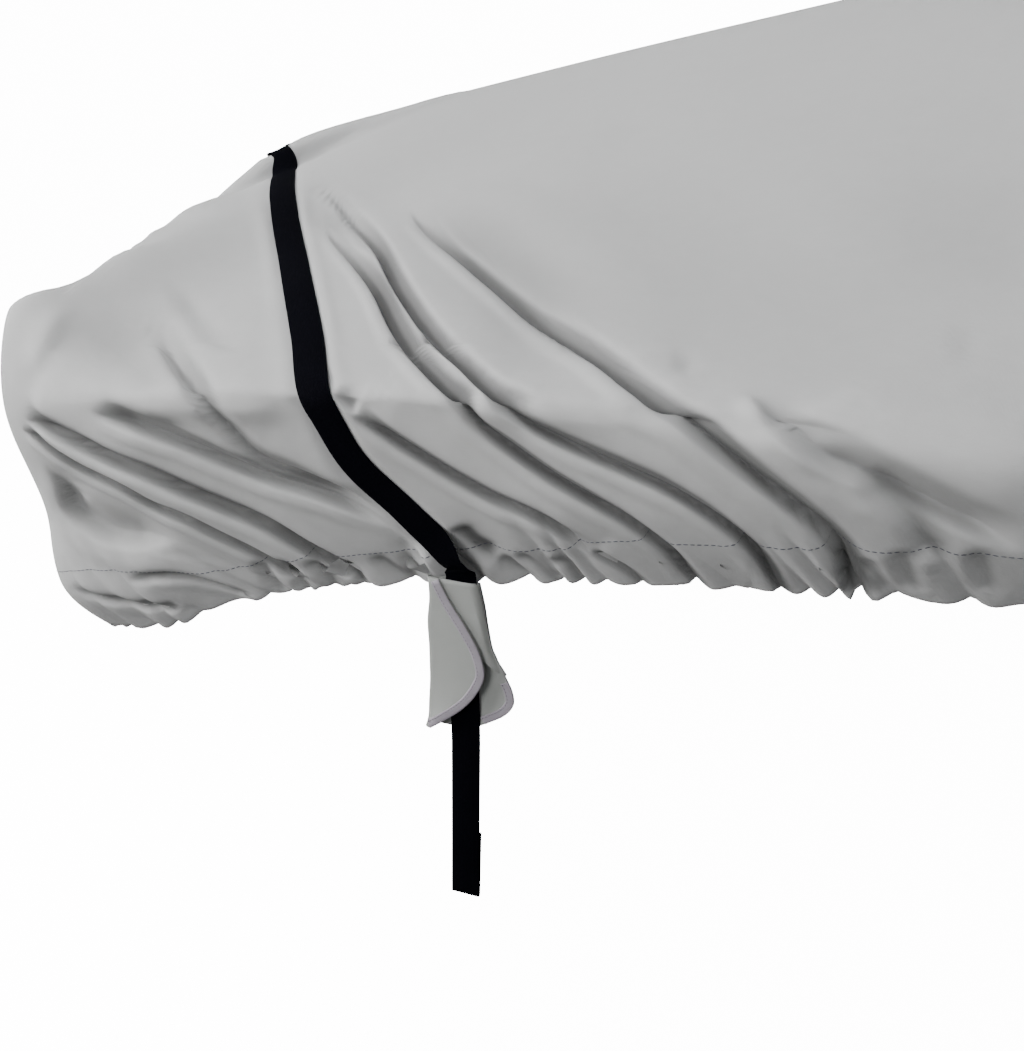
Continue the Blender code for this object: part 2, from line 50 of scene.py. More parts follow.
# ---- shape of the cover
RIB_COLUMNS = ("x", "y", "z", "shoulder_in", "shoulder_up", "foot_x", "sag", "tuck",
               "hem_in", "hem_drop")
RIBS = (
    (-1.835, 0, -0.52, 0.08, 0.094, -1.6, 0, 0, 0.135, 0.45),
    (-1.835, -0.45, -0.545, 0.08, 0.104, -1.59, 0, 0, 0.13, 0.43),
    (-1.832, -0.78, -0.615, 0.045, 0.078, -1.55, -0.016, 0, 0.125, 0.37),
    (-1.83, -0.96, -0.645, 0.025, 0.11, -1.49, -0.004, 0.006, 0.088, 0.33),
    (-1.765, -1.105, -0.648, 0.03, 0.12, -1.42, 0.012, 0.008, 0.058, 0.33),
    (-1.6, -1.142, -0.612, 0.07, 0.06, -1.32, 0.012, 0, 0.045, 0.328),
    (-1.4, -1.142, -0.578, 0.08, 0.04, -1.25, 0.012, -0.005, 0.05, 0.275),
    (-1.15, -1.14, -0.556, 0.09, 0.035, -1.1, 0.012, -0.01, 0.045, 0.231),
    (-0.8, -1.15, -0.534, 0.1, 0.03, -0.8, 0.012, -0.012, 0.045, 0.191),
    (-0.2, -1.15, -0.51, 0.1, 0.03, -0.3, -0.035, -0.01, 0.045, 0.17),
    (0.45, -1.13, -0.492, 0.1, 0.03, 0.25, -0.095, -0.01, 0.042, 0.162),
    (1.2, -1.05, -0.472, 0.1, 0.03, 0.8, -0.05, -0.01, 0.04, 0.145),
    (2, -0.85, -0.45, 0.1, 0.03, 1.5, -0.012, -0.01, 0.04, 0.145),
    (2.7, -0.55, -0.42, 0.09, 0.03, 2.2, 0.005, -0.01, 0.04, 0.145),
    (3.15, -0.26, -0.4, 0.08, 0.025, 2.7, 0.005, -0.01, 0.04, 0.145),
    (3.33, 0, -0.395, 0.08, 0.025, 2.9, 0.005, -0.01, 0.04, 0.145),
)
CREST = (
    (-1.62, -0.388), (-1.3, -0.305), (-0.9, -0.207), (-0.5, -0.11), (-0.2, -0.034), (0, 0.002),
    (0.25, -0.006), (0.5, -0.045), (0.9, -0.15), (1.5, -0.258), (2.2, -0.335), (2.9, -0.365),
)

# Grain of the mesh on the starboard half: number of columns up to a line, and the run at
# which that line crosses rows 0 to 5.  The lines follow the folds.
GRAIN = (
    (24, (0.8, 0.8, 0.8, 0.8, 0.8, 0.8)),
    (20, (0.98, 0.98, 0.985, 1, 1.04, 1.08)),
    (16, (1, 1, 1.02, 1.05, 1.16, 1.26)),
    (40, (1.02, 1.02, 1.07, 1.1, 1.33, 1.5)),
    (28, (1.04, 1.04, 1.11, 1.15, 1.43, 1.6)),
    (34, (1.06, 1.06, 1.22, 1.3, 1.56, 1.69)),
    (22, (1.08, 1.08, 1.32, 1.44, 1.63, 1.73)),
    (26, (1.12, 1.12, 1.53, 1.6, 1.7, 1.78)),
    (28, (1.14, 1.14, 1.57, 1.66, 1.82, 1.88)),
    (42, (1.2, 1.2, 1.64, 1.78, 1.91, 2.01)),
    (34, (1.3, 1.3, 1.73, 1.86, 2.03, 2.1)),
    (42, (1.45, 1.45, 1.85, 2, 2.11, 2.17)),
    (34, (1.75, 1.75, 2.06, 2.19, 2.32, 2.38)),
    (26, (2.1, 2.1, 2.3, 2.42, 2.52, 2.56)),
    (18, (2.75, 2.75, 2.8, 2.85, 2.88, 2.9)),
    (18, (3.8, 3.8, 3.8, 3.8, 3.8, 3.8)),
)
GRAIN_TO_BOW = 34           # columns from the last line to the bow
PORT_SHARE = 0.38           # columns of the port half, as a share of the starboard ones
ROW_STEPS = ((9, 1.0), (34, 2.0), (18, 3.0), (34, 4.0), (12, 4.35), (22, 5.0))  # rows, end

TOP_ROWS = 2.1              # rows above this one face up
NORMAL_PASSES = 3           # passes that even the normals out
RIB_NUDGE, NUDGE = 0.001, 0.004     # steps over which slopes are measured
WAIST_IN, WAIST_DROP = 0.45, 0.5    # the waist, as shares of the hem's way in and down

# Folds.  above and below: widths of the flank over the fold's line and of the steeper one
# under it; depth, which is negative where the cloth stands out; ridge: height of a crisp
# edge over the flank (0 for a soft fold); lean: how far the steep flank's lip hangs over;
# rise and fall: shares of its length over which it sinks in and comes out (0 keeps it deep
# to the end); shade: how far painted shade darkens the cloth's colour in it; line: its
# places as (run, row).
FOLD_COLUMNS = ("above", "below", "depth", "ridge", "lean", "rise", "fall", "shade", "line")
FOLDS = (
    # starboard side, forward of the webbing
    (.02, .006, .022, .005, .003, .36, 0, .95, ((1.28, 1.33), (1.46, 1.58), (1.56, 1.77),
        (1.63, 1.94), (1.69, 2.34), (1.75, 2.87), (1.78, 3.3), (1.82, 3.54), (1.86, 3.75),
        (1.9, 3.95), (1.94, 4.19), (1.98, 4.53), (2.01, 4.99))),
    (.02, .006, .02, .005, .003, .4, 0, .95, ((1.04, 1.06), (1.27, 1.23), (1.48, 1.53),
        (1.59, 1.77), (1.67, 1.95), (1.74, 2.39), (1.8, 2.88), (1.84, 3.25), (1.89, 3.46),
        (1.94, 3.63), (1.99, 3.82), (2.03, 4.07), (2.07, 4.44), (2.1, 4.99))),
    (.027, .008, .028, .005, .005, .26, 0, .82, ((1.43, 1.26), (1.58, 1.52), (1.68, 1.69),
        (1.76, 1.83), (1.82, 1.93), (1.88, 2.15), (1.94, 2.58), (1.99, 3.03), (2.03, 3.37),
        (2.07, 3.64), (2.11, 3.92), (2.15, 4.33), (2.17, 4.94))),
    (.06, .04, .016, 0, 0, .3, .4, .35, ((1.46, 1.22), (1.6, 1.44), (1.74, 1.74), (1.85, 2.06),
        (1.92, 2.45))),
    (.12, .1, .012, 0, 0, .35, .35, .12, ((1.58, .86), (1.93, 1.57), (2.13, 1.86), (2.22, 2.4))),
    (.08, .08, .01, 0, 0, .4, .4, .12, ((2.25, 1.12), (2.26, 1.51), (2.24, 1.77))),
    (.022, .02, .006, 0, 0, .4, .4, .3, ((1.22, 1.17), (1.39, 1.4), (1.52, 1.66))),
    (.021, .006, .022, .005, .003, .14, .25, .95, ((1.63, 3.19), (1.67, 3.44), (1.71, 3.63),
        (1.75, 3.82), (1.79, 4.01), (1.84, 4.21), (1.88, 4.45), (1.92, 4.73))),
    (.016, .007, .012, 0, .001, .3, .3, .45, ((1.61, 2.8), (1.62, 3.04), (1.64, 3.19))),
    (.014, .007, .016, .003, .002, .25, 0, .8, ((1.9, 4.59), (1.92, 4.73), (1.94, 4.88),
        (1.95, 4.99))),
    (.034, .014, .022, .004, .002, .2, .2, .3, ((2.06, 2.39), (2.1, 3.04), (2.13, 3.33),
        (2.17, 3.5), (2.21, 3.68), (2.25, 3.86), (2.29, 4.04), (2.33, 4.23))),
    (.016, .012, -.008, 0, 0, .3, .3, 0, ((2.05, 2.38), (2.07, 2.73), (2.09, 3.09), (2.12, 3.32),
        (2.16, 3.52))),
    (.02, .01, .01, 0, 0, .3, 0, .5, ((2.17, 3.53), (2.22, 3.9), (2.24, 4.25))),
    (.012, .008, .008, 0, 0, .4, 0, .35, ((2.22, 4.21), (2.22, 4.5), (2.23, 4.78))),
    (.012, .008, .008, 0, 0, .4, 0, .35, ((2.28, 4.2), (2.29, 4.47), (2.3, 4.75))),
    (.01, .007, .008, 0, 0, .4, 0, .5, ((2.19, 4.41), (2.19, 4.62), (2.2, 4.87))),
    (.01, .007, .003, 0, 0, .4, .4, .1, ((2.25, 1.79), (2.24, 1.97))),
    (.01, .007, .003, 0, 0, .4, .4, .1, ((1.97, 1.95), (1.98, 2.37))),
    (.04, .03, .004, 0, 0, .45, .45, .05, ((1.6, .71), (1.75, .91))),
    # starboard quarter, aft of the webbing
    (.026, .007, .022, .004, .003, .12, .22, .75, ((1.29, 3.06), (1.35, 3.27), (1.41, 3.46),
        (1.46, 3.64), (1.51, 3.81), (1.57, 3.97), (1.62, 4.14), (1.67, 4.33))),
    (.013, .013, .006, 0, 0, .3, .3, .55, ((1.31, 3.08), (1.37, 3.21), (1.43, 3.32))),
    (.028, .006, .028, .006, .004, .07, 0, 1, ((1.18, 3.08), (1.24, 3.3), (1.29, 3.49),
        (1.35, 3.67), (1.4, 3.86), (1.45, 4.08), (1.5, 4.32), (1.54, 4.57), (1.59, 4.87))),
    (.019, .005, .022, .006, .003, .06, 0, 1, ((1.17, 3.17), (1.21, 3.38), (1.25, 3.58),
        (1.3, 3.74), (1.34, 3.91), (1.39, 4.1), (1.43, 4.32), (1.47, 4.55), (1.51, 4.81))),
    (.04, .014, .022, 0, .002, .25, .3, .42, ((1.19, 3.44), (1.2, 3.68), (1.2, 3.88), (1.24, 4.08),
        (1.32, 4.19), (1.38, 4.2))),
    (.012, .006, .014, .004, .001, .25, 0, .85, ((1.28, 4.5), (1.35, 4.56), (1.41, 4.77),
        (1.44, 4.92))),
    (.014, .007, .012, .003, .001, .25, 0, .75, ((1.17, 4.54), (1.22, 4.66), (1.28, 4.76),
        (1.33, 4.84))),
    (.024, .008, .016, .003, .001, .4, .22, .55, ((1.25, 1.87), (1.32, 1.96), (1.39, 2.42),
        (1.44, 3.02), (1.47, 3.35), (1.5, 3.59), (1.55, 3.77), (1.59, 3.93), (1.64, 4.08),
        (1.68, 4.28))),
    (.045, .035, .009, 0, 0, .4, .4, .25, ((1.21, 1.93), (1.28, 2.13), (1.36, 2.54),
        (1.43, 2.94))),
    (.014, .008, .005, 0, 0, .35, .35, .2, ((1.25, 1.74), (1.34, 1.87), (1.42, 1.99),
        (1.47, 2.22))),
    (.016, .022, -.006, 0, 0, .35, .35, 0, ((1.19, 1.9), (1.2, 2), (1.2, 2.39), (1.19, 2.72))),
    # pleats by the webbing, and the ear of cloth that it catches
    (.01, .008, .01, 0, 0, .35, 0, .6, ((1.47, 4.57), (1.48, 4.74), (1.49, 4.96))),
    (.01, .008, .011, 0, 0, .35, 0, .65, ((1.5, 4.59), (1.52, 4.78), (1.53, 4.97))),
    (.01, .008, .011, 0, 0, .35, 0, .65, ((1.54, 4.65), (1.56, 4.82), (1.57, 4.99))),
    (.01, .008, .01, 0, 0, .35, 0, .6, ((1.59, 4.67), (1.6, 4.83), (1.61, 4.99))),
    (.011, .008, .01, 0, 0, .35, 0, .6, ((1.63, 4.64), (1.65, 4.81), (1.67, 4.97))),
    (.01, .008, .009, 0, 0, .35, 0, .6, ((1.79, 4.68), (1.8, 4.82), (1.82, 4.97))),
    (.01, .008, .01, 0, 0, .35, 0, .6, ((1.81, 4.62), (1.83, 4.77), (1.85, 4.98))),
    (.01, .008, .009, 0, 0, .35, 0, .6, ((1.85, 4.67), (1.87, 4.81), (1.88, 4.98))),
    (.022, .016, -.022, 0, 0, .35, 0, 0, ((1.71, 4.46), (1.71, 4.67), (1.71, 4.97))),
    (.008, .008, .007, 0, 0, .35, 0, .4, ((1.69, 4.54), (1.7, 4.72), (1.7, 4.96))),
    (.009, .008, .006, 0, 0, .35, 0, .3, ((1.67, 4.62), (1.68, 4.8), (1.68, 4.98))),
    (.016, .01, .018, 0, 0, .25, .3, 1, ((1.74, 4.29), (1.76, 4.54), (1.79, 4.75))),
    # the gunwale's edge under the cloth
    (.016, .016, -.005, 0, 0, .25, .25, 0, ((1.32, 3.01), (1.43, 3.1), (1.57, 3.14))),
    (.016, .016, -.005, 0, 0, .25, .25, 0, ((1.75, 3.07), (1.87, 2.94), (1.97, 2.77))),
    # starboard stern corner
    (.055, .055, .028, 0, 0, .25, .25, .4, ((.86, 1.76), (1, 1.82), (1.13, 1.9))),
    (.07, .07, .01, 0, 0, .25, .25, .11, ((.84, 1.58), (.96, 1.6), (1.08, 1.62))),
    (.035, .035, .007, 0, 0, .3, .3, 0, ((.88, 1.64), (.98, 1.66))),
    (.045, .045, -.0045, 0, 0, .35, .35, 0, ((.73, 1.56), (.86, 1.58))),
    (.045, .045, .009, 0, 0, .35, .35, 0, ((.99, 1.72), (1.09, 1.77))),
    (.03, .02, .02, 0, 0, .3, .3, .46, ((.88, 3.35), (1, 3.38), (1.12, 3.42))),
    (.055, .055, -.017, 0, 0, .3, .3, 0, ((.88, 3.95), (1, 4.05), (1.1, 4.15))),
    # forward starboard side and bow
    (.05, .04, .018, 0, 0, .3, .1, .28, ((2.31, 2.4), (2.4, 3), (2.55, 4.6))),
    (.055, .055, .02, 0, 0, .3, .15, .29, ((2.7, 2.2), (2.95, 3.1), (3.15, 4.7))),
    (.06, .06, .022, 0, 0, .3, .15, .29, ((3.35, 1.6), (3.7, 2.6), (3.95, 4.6))),
    (.055, .055, .018, 0, 0, .3, .15, .26, ((4.3, 2.1), (4.55, 3.1), (4.7, 4.7))),
    (.055, .055, .016, 0, 0, .3, .15, .23, ((4.95, 1.4), (5.2, 2.7), (5.45, 4.7))),
    (.045, .045, .014, 0, 0, .3, .15, .24, ((5.8, 2.2), (5.95, 3.2), (6.15, 4.7))),
    # stern panel
    (.05, .04, .02, 0, 0, .3, .1, .31, ((.15, 2.6), (.25, 3.6), (.5, 4.75))),
    (.045, .035, .02, 0, 0, .3, .1, .35, ((.55, 2.5), (.7, 3.5), (.86, 4.75))),
    (.05, .04, .022, 0, 0, .3, .1, .35, ((-.1, 2.6), (-.28, 3.7), (-.38, 4.75))),
    (.045, .035, .018, 0, 0, .3, .1, .31, ((-.48, 2.6), (-.62, 3.6), (-.84, 4.75))),
    # port quarter and side
    (.08, .08, .022, 0, 0, .25, .25, .22, ((-.82, 1.74), (-1, 1.76), (-1.18, 1.8))),
    (.03, .012, .02, 0, .002, .25, .05, .46, ((-1.1, 3.2), (-1.32, 3.8), (-1.5, 4.7))),
    (.03, .012, .02, 0, .002, .25, .05, .46, ((-1.22, 2.8), (-1.45, 3.4), (-1.68, 4.6))),
    (.05, .04, .014, 0, 0, .3, .3, .22, ((-1.2, 1.9), (-1.4, 2.4), (-1.56, 3.3))),
    (.036, .018, .022, 0, .002, .3, .05, .48, ((-1.4, 1.35), (-1.8, 2.6), (-2.05, 4.7))),
    (.04, .02, .022, 0, .002, .3, .05, .43, ((-1.66, 1.45), (-2.02, 2.4), (-2.28, 4.75))),
    (.045, .045, .02, 0, 0, .3, .15, .35, ((-2.2, 2.1), (-2.42, 3), (-2.55, 4.7))),
    (.055, .055, .022, 0, 0, .3, .15, .31, ((-2.75, 1.8), (-3, 2.9), (-3.25, 4.7))),
    (.055, .055, .018, 0, 0, .3, .15, .26, ((-3.5, 2.2), (-3.72, 3.1), (-3.85, 4.7))),
    (.06, .06, .02, 0, 0, .3, .15, .26, ((-4.15, 1.5), (-4.45, 2.8), (-4.65, 4.7))),
    (.05, .05, .016, 0, 0, .3, .15, .25, ((-5.05, 2.2), (-5.25, 3.1), (-5.45, 4.7))),
    (.045, .045, .014, 0, 0, .3, .15, .24, ((-5.75, 1.9), (-5.95, 3), (-6.1, 4.7))),
)
FOLD_STEP = 0.012           # metres between the points that a fold's line is read at
OFF_PATH = 0.012            # how far the cloth may lie above or below that line
FOLD_REACH = 3              # how far a fold spreads, in widths
RIDGE_SHARP = 7.0           # how crisp a ridge is
CROWN = 2.0                 # how far a ridge swells above itself, in flank widths
LIP = 0.12                  # height of a fold's lip, as a share of its depth
LIP_AT, LEAN_AT = 2.0, 1.3  # how far below its line the lip and the lean are, in widths
SHADE_ENDS = (1.2, 0.45)    # where a crisp fold's shade ends, and how softly
SHADE_SOFT = (0.35, 0.8)    # middle and width of a soft fold's shade
HEM_HOLD = (4.55, 5.0, 0.45)    # between these rows the elastic takes this share of a fold

# Where the cover rolls softly over the gunwale: runs between which that begins, rows
# between which the cloth is eased and how soon it is eased in full there; the passes, and
# the share of each
RIM_RUNS, RIM_ROWS, RIM_FADES = (1.84, 2.15), (1.7, 5.0), (0.4, 0.5)
RIM_PASSES, RIM_EASE = 160, 0.8

# The skirt's belly at the stern corners: run of its middle and half length, row of its
# fullest place and half height; swell, and how far the hem goes under and sags there
BELLY_RUN, BELLY_HALF, BELLY_ROW, BELLY_HIGH = 1.08, 0.20, 4.45, 0.45
BELLY_SWELL, BELLY_UNDER, HEM_SAG = 0.018, 0.036, 0.014
HEM_ROWS, SAG_ROWS = (4.5, 5.0), (4.2, 5.0)    # rows between which it goes under, and sags

# Cloth that stands out is made lighter: height at which that is full, and rows where that begins
LIGHTER_HIGH, LIGHTER_ROWS = 0.006, (1.5, 2.5)

# Slack of the cloth: waves for each metre, height and a place in the noise
SLACK = ((3.1, 0.0034, (3, 7, 1)), (14.0, 0.0009, (9, 2, 5)))

# Gathers of the elasticated hem
GATHER = 0.050              # metres of hem in one puff
GATHER_HIGH = 0.0085        # out of the cloth at the hem
GATHER_SCALLOP = 0.0050     # up and down at the hem
GATHER_TOP = (3.95, 4.45)   # rows between which the puffs grow
GATHER_GROWN = (4.4, 5.0, 0.45)    # rows between which they grow on, and their share at first
GATHER_SEAM, GATHER_MEAN = 0.004, 0.55     # how soft the seam between puffs is; level taken off
GATHER_CALM = 0.6           # how far the webbing flattens them
GATHER_DRIFT = ((0.55, 0.31, 0.0), (0.30, 0.137, 1.3))  # of their places: size, length, start
GATHER_SIZE = (0.75, 0.35, 0.43, 0.6)   # a puff's mean size, its change, length and start

# Casing of the elastic: the cloth is turned inside
CASING_RADIUS, CASING_DEPTH, CASING_TURN, CASING_UP = 0.0040, 0.045, 4, 3     # last two: steps

# The stitch line of the casing, as (run, row), and one stitch: length, gap, width, height
STITCH_LINE = ((0.0, 4.62), (0.90, 4.52), (1.18, 4.42), (1.28, 4.38), (1.40, 4.46),
               (1.49, 4.62), (1.62, 4.62), (1.76, 4.60), (1.88, 4.56), (1.96, 4.42),
               (2.10, 4.36), (2.32, 4.30), (2.80, 4.42), (6.531, 4.45))
HEM_STITCH = (0.0058, 0.0014, 0.0013, 0.0007)
TAPE_STITCH = (0.0032, 0.0014, 0.0008, 0.0004)
STITCH_ENDS = ((-0.5, 0.35), (-0.25, 1.0), (0.25, 1.0), (0.5, 0.35))    # place and girth
STITCH_BEDDED = 0.0002      # how deep a stitch lies in the cloth
STITCH_FACES = [(4 * i + j, 4 * i + k, 4 * i + k + 4, 4 * i + j + 4)
                for i in range(3) for j, k in ((0, 1), (1, 2), (2, 3), (3, 0))]
STITCH_FACES += [(3, 2, 1, 0), (12, 13, 14, 15)]

# Webbing
WEBBING_WIDTH, WEBBING_THICK, WEBBING_STEP = 0.038, 0.0018, 0.006
WEBBING_OVER = (
    (-1.79, 0, -0.446), (-1.786, -0.19, -0.45), (-1.762, -0.378, -0.45), (-1.703, -0.478, -0.454),
    (-1.611, -0.646, -0.465), (-1.468, -0.873, -0.496), (-1.354, -1.05, -0.532),
    (-1.297, -1.135, -0.569), (-1.261, -1.134, -0.637), (-1.196, -1.125, -0.699),
    (-1.14, -1.104, -0.752),
)
WEBBING_DOWN = (
    (-1.141, -1.112, -0.772), (-1.143, -1.112, -0.79), (-1.142, -1.112, -0.85),
    (-1.139, -1.112, -0.96), (-1.141, -1.112, -1.1), (-1.144, -1.112, -1.238),
)
WEBBING_CALM, CALM_REACH = 0.75, 0.030      # how far it flattens the folds under it
WEBBING_SINK, SINK_REACH = 0.0022, 0.021    # how deep it presses in
WEBBING_BANK, BANK_REACH = 0.0016, 0.009    # how high the cloth stands beside it
TURNED_BACK, TURN_RADIUS, SIDE_STEP = 0.100, 0.0016, 0.003
FIRST_LIFT, CLEAR = 0.0004, 0.0005          # webbing over the cloth: at first, at least
GUIDE_STEP, GUIDE_REACH = 0.02, 0.12        # of the line that presses the cloth
LAID_PASSES, STRAIGHT_PASSES, LIFT_PASSES = 12, 8, 6
TURN_STEPS, BACK_STEPS = 8, 14              # of the end that is turned back

# Flap: drop below the top, fold at its stern side, free edges of the front and the back
# leaf; then the leaves' faces, outwards from the webbing, and the cloth's thickness
FLAP_TOP, FLAP_CENTRE = -0.778, -1.1405
FLAP = (
    (0, -0.042, -0.027, 0.0215), (0.028, -0.041, -0.012, 0.0275), (0.058, -0.044, 0.008, 0.032),
    (0.093, -0.043, 0.026, 0.04), (0.118, -0.043, 0.03, 0.053), (0.138, -0.043, 0.023, 0.062),
    (0.156, -0.044, 0.012, 0.063), (0.174, -0.045, -0.004, 0.05), (0.188, -0.045, -0.02, 0.03),
    (0.204, -0.0455, -0.04, 0.005),
)
FLAP_FRONT_Y, FLAP_BACK_Y, FLAP_CLOTH = 0.0053, -0.0036, 0.0012
FLAP_DROP = FLAP[-1][0]
SLACK_OUT, SLACK_ARC, EDGE_OUT = 0.0055, 0.8, 0.0035    # front leaf: slack, its arc, its edge
CURL_OUT, CURL_FROM, CURL_ARC = 0.004, 0.55, 2.2        # back leaf: curl, where it starts
FLAP_LEVELS, FLAP_FRONT, FLAP_BEND, FLAP_BACK, FLAP_OVER = 34, 14, 8, 16, 12    # steps
# The back leaf's top is turned over in front of the webbing: its face, how far it goes
# under the front leaf, the drops between which it narrows away and its width there; the
# distance in which it rises to its face, the width that it needs for that, how far it
# rolls out and how soon that ends
OVER_Y, OVER_UNDER, OVER_ENDS, OVER_LEAST = 0.0036, 0.012, (0.080, 0.122), 0.003
OVER_RISE, OVER_RISE_LEAST, OVER_ROLL, OVER_ROLLED = 0.008, 0.012, 0.0012, 2.4

# Binding tape: width, height, gap under it, the drops it has on the back leaf, its section
# (places across it and heights), its own thickness, steps, and the place of its seam, which
# lies at the height of this point of the section
TAPE_WIDTH, TAPE_THICK, TAPE_GAP, BACK_TAPE = 0.011, 0.0009, 0.0003, (0.124, 0.190)
TAPE_SECTION = ((0.0, 0.35), (0.0008, 0.85), (0.0025, 1.0), (0.00605, 1.0), (0.010, 0.95),
                (0.011, 0.45))
TAPE_BODY, TAPE_LEVELS, TAPE_SEAM, TAPE_SEAM_ON = 0.00054, 45, 0.0085, 3

# Stern tabs
TAB_WIDTH, TAB_THICK, TAB_RUN, TAB_TOP, TAB_DROP = 0.024, 0.0026, 0.985, 0.030, 0.016
TAB_INSET, TAB_TURN, TAB_LEVELS = 0.0036, 0.012, 12

# Studio: name, place, size and power of each soft light
LIGHTS = (
    ("overhead_light", (-2.8, -1.6, 2.8), 1.8, 98.0),
    ("stern_light", (-5.2, -2.4, 0.6), 1.6, 190.0),
    ("side_light", (-3.4, -5.8, 1.0), 2.2, 135.0),
)
LIGHT_AIM = (-0.9, -0.6, -0.5)
# The sky's brightness, by how far up the direction points
SKY = {"From Min": -0.25, "From Max": 0.9, "To Min": 0.05, "To Max": 0.70}
FLOOR_SIZE, FLOOR_PLACE, FLOOR_GLOW = 160, (20, 20, -2.0), 14.0
# Camera: place, degrees down and turned from +Y to the stern, and lens
EYE, EYE_DOWN, EYE_TURN, LENS = (-0.6478, -2.2774, -0.1035), 25.548, 20.322, 42.82


# ---- curves
def smooth_column(knots, values, at):
    """Read a curve through (knots, values) at the places `at`."""
    knots, values = np.asarray(knots, float), np.asarray(values, float)
    at = np.clip(at, knots[0], knots[-1])
    step = np.diff(knots)
    slope = np.diff(values) / step
    tangent = np.empty(len(knots))
    tangent[0], tangent[-1] = slope[0], slope[-1]
    tangent[1:-1] = (slope[:-1] * step[1:] + slope[1:] * step[:-1]) / (step[1:] + step[:-1])
    i = np.clip(np.searchsorted(knots, at) - 1, 0, len(knots) - 2)
    return hermite(values[i], values[i + 1], tangent[i] * step[i], tangent[i + 1] * step[i],
                   (at - knots[i]) / step[i])


def hermite(start, end, leave, arrive, t):
    """Cubic from start to end with the given tangents."""
    return (start * (2 * t**3 - 3 * t**2 + 1) + leave * (t**3 - 2 * t**2 + t)
            + end * (3 * t**2 - 2 * t**3) + arrive * (t**3 - t**2))


def rising(value, low=0.0, high=1.0):
    """0 below low, 1 above high and a straight rise between; falls if low is the higher."""
    return np.clip((value - low) / (high - low), 0, 1)


def eased(value, low=0.0, high=1.0):
    """As rising, with a soft start and end."""
    share = rising(value, low, high)
    return share * share * (3 - 2 * share)


def bell(away, width, power=2):
    """1 at no distance, and falling softly to 0 beyond the width."""
    return np.exp(-(away / width) ** power)


def unit(vectors):
    """The vectors at length one."""
    return vectors / np.maximum(np.linalg.norm(vectors, axis=-1, keepdims=True), 1e-12)


def lengths(path):
    """Length of a path up to each of its points."""
    steps = np.linalg.norm(np.diff(path, axis=0), axis=1)
    return np.concatenate([[0.0], np.cumsum(steps)])


def spline(points, spacing):
    """Evenly spaced points on a smooth curve through the given ones."""
    points = np.array(points, float)
    knots = lengths(points)
    at = np.linspace(0, knots[-1], max(2, round(knots[-1] / spacing)) + 1)
    return np.stack([smooth_column(knots, column, at) for column in points.T], -1)


def divided(steps, start):
    """Places from the start through the end of each (count, end) step, in equal parts."""
    places, last = [start], start
    for count, end in steps:
        places += [last + (end - last) * k / count for k in range(1, count + 1)]
        last = end
    return np.array(places)


def evened(values):
    """Each inner value moved towards its neighbours along the first axis."""
    return (values[:-2] + 2 * values[1:-1] + values[2:]) / 4


# ---- the unfolded cover
def whole_loop():
    """The rib table as a loop from bow to bow, with the port half mirrored."""
    starboard = np.array(RIBS)
    port = starboard[:0:-1].copy()
    port[:, 1] *= -1
    loop = np.vstack([port, starboard])
    run = lengths(loop[:, :2])
    return run - run[len(port)], loop


LOOP_RUN, LOOP_RIBS = whole_loop()
BOW_RUN = LOOP_RUN[-1]


def rib_at(run):
    """The rib table read at `run`, as a dict of columns."""
    return {name: smooth_column(LOOP_RUN, LOOP_RIBS[:, k], run)
            for k, name in enumerate(RIB_COLUMNS)}


def rib_points(run):
    """Points of the ribs at rows 0 to 5, shape (n, 6, 3)."""
    rib = rib_at(run)
    ahead, behind = rib_at(run + RIB_NUDGE), rib_at(run - RIB_NUDGE)
    along = unit(np.stack([ahead["x"] - behind["x"], ahead["y"] - behind["y"]], -1))
    rim = np.stack([rib["x"], rib["y"], rib["z"]], -1)

    def from_rim(inward, up):
        return rim + np.stack([-along[:, 1] * inward, along[:, 0] * inward, up], -1)

    crest_x, crest_z = np.array(CREST).T
    foot = np.stack([rib["foot_x"], np.zeros(len(run)),
                     smooth_column(crest_x, crest_z, rib["foot_x"])], -1)
    shoulder = from_rim(rib["shoulder_in"], rib["shoulder_up"])
    span = (foot + shoulder) / 2
    span[:, 2] -= rib["sag"]
    waist = from_rim(rib["hem_in"] * WAIST_IN + rib["tuck"], -rib["hem_drop"] * WAIST_DROP)
    hem = from_rim(rib["hem_in"], -rib["hem_drop"])
    return np.stack([foot, span, shoulder, rim, waist, hem], 1)


def cover_points(run, row):
    """The unfolded cover at (run, row): a curve that never overshoots its points."""
    points = rib_points(run)
    step = np.linalg.norm(np.diff(points, axis=1), axis=-1)[..., None]
    slope = np.diff(points, axis=1) / step
    before, after = slope[:, :-1], slope[:, 1:]
    first, second = 2 * step[:, 1:] + step[:, :-1], step[:, 1:] + 2 * step[:, :-1]
    tangent = np.zeros_like(points)
    tangent[:, 0], tangent[:, -1] = slope[:, 0], slope[:, -1]
    same_way = before * after > 0
    blend = (first + second) / (first / np.where(same_way, before, 1)
                                + second / np.where(same_way, after, 1))
    tangent[:, 1:-1] = np.where(same_way, blend, 0)
    i = np.clip(np.floor(row).astype(int), 0, 4)
    n = np.arange(len(run))
    return hermite(points[n, i], points[n, i + 1], tangent[n, i] * step[n, i],
                   tangent[n, i + 1] * step[n, i], (row - i)[:, None])


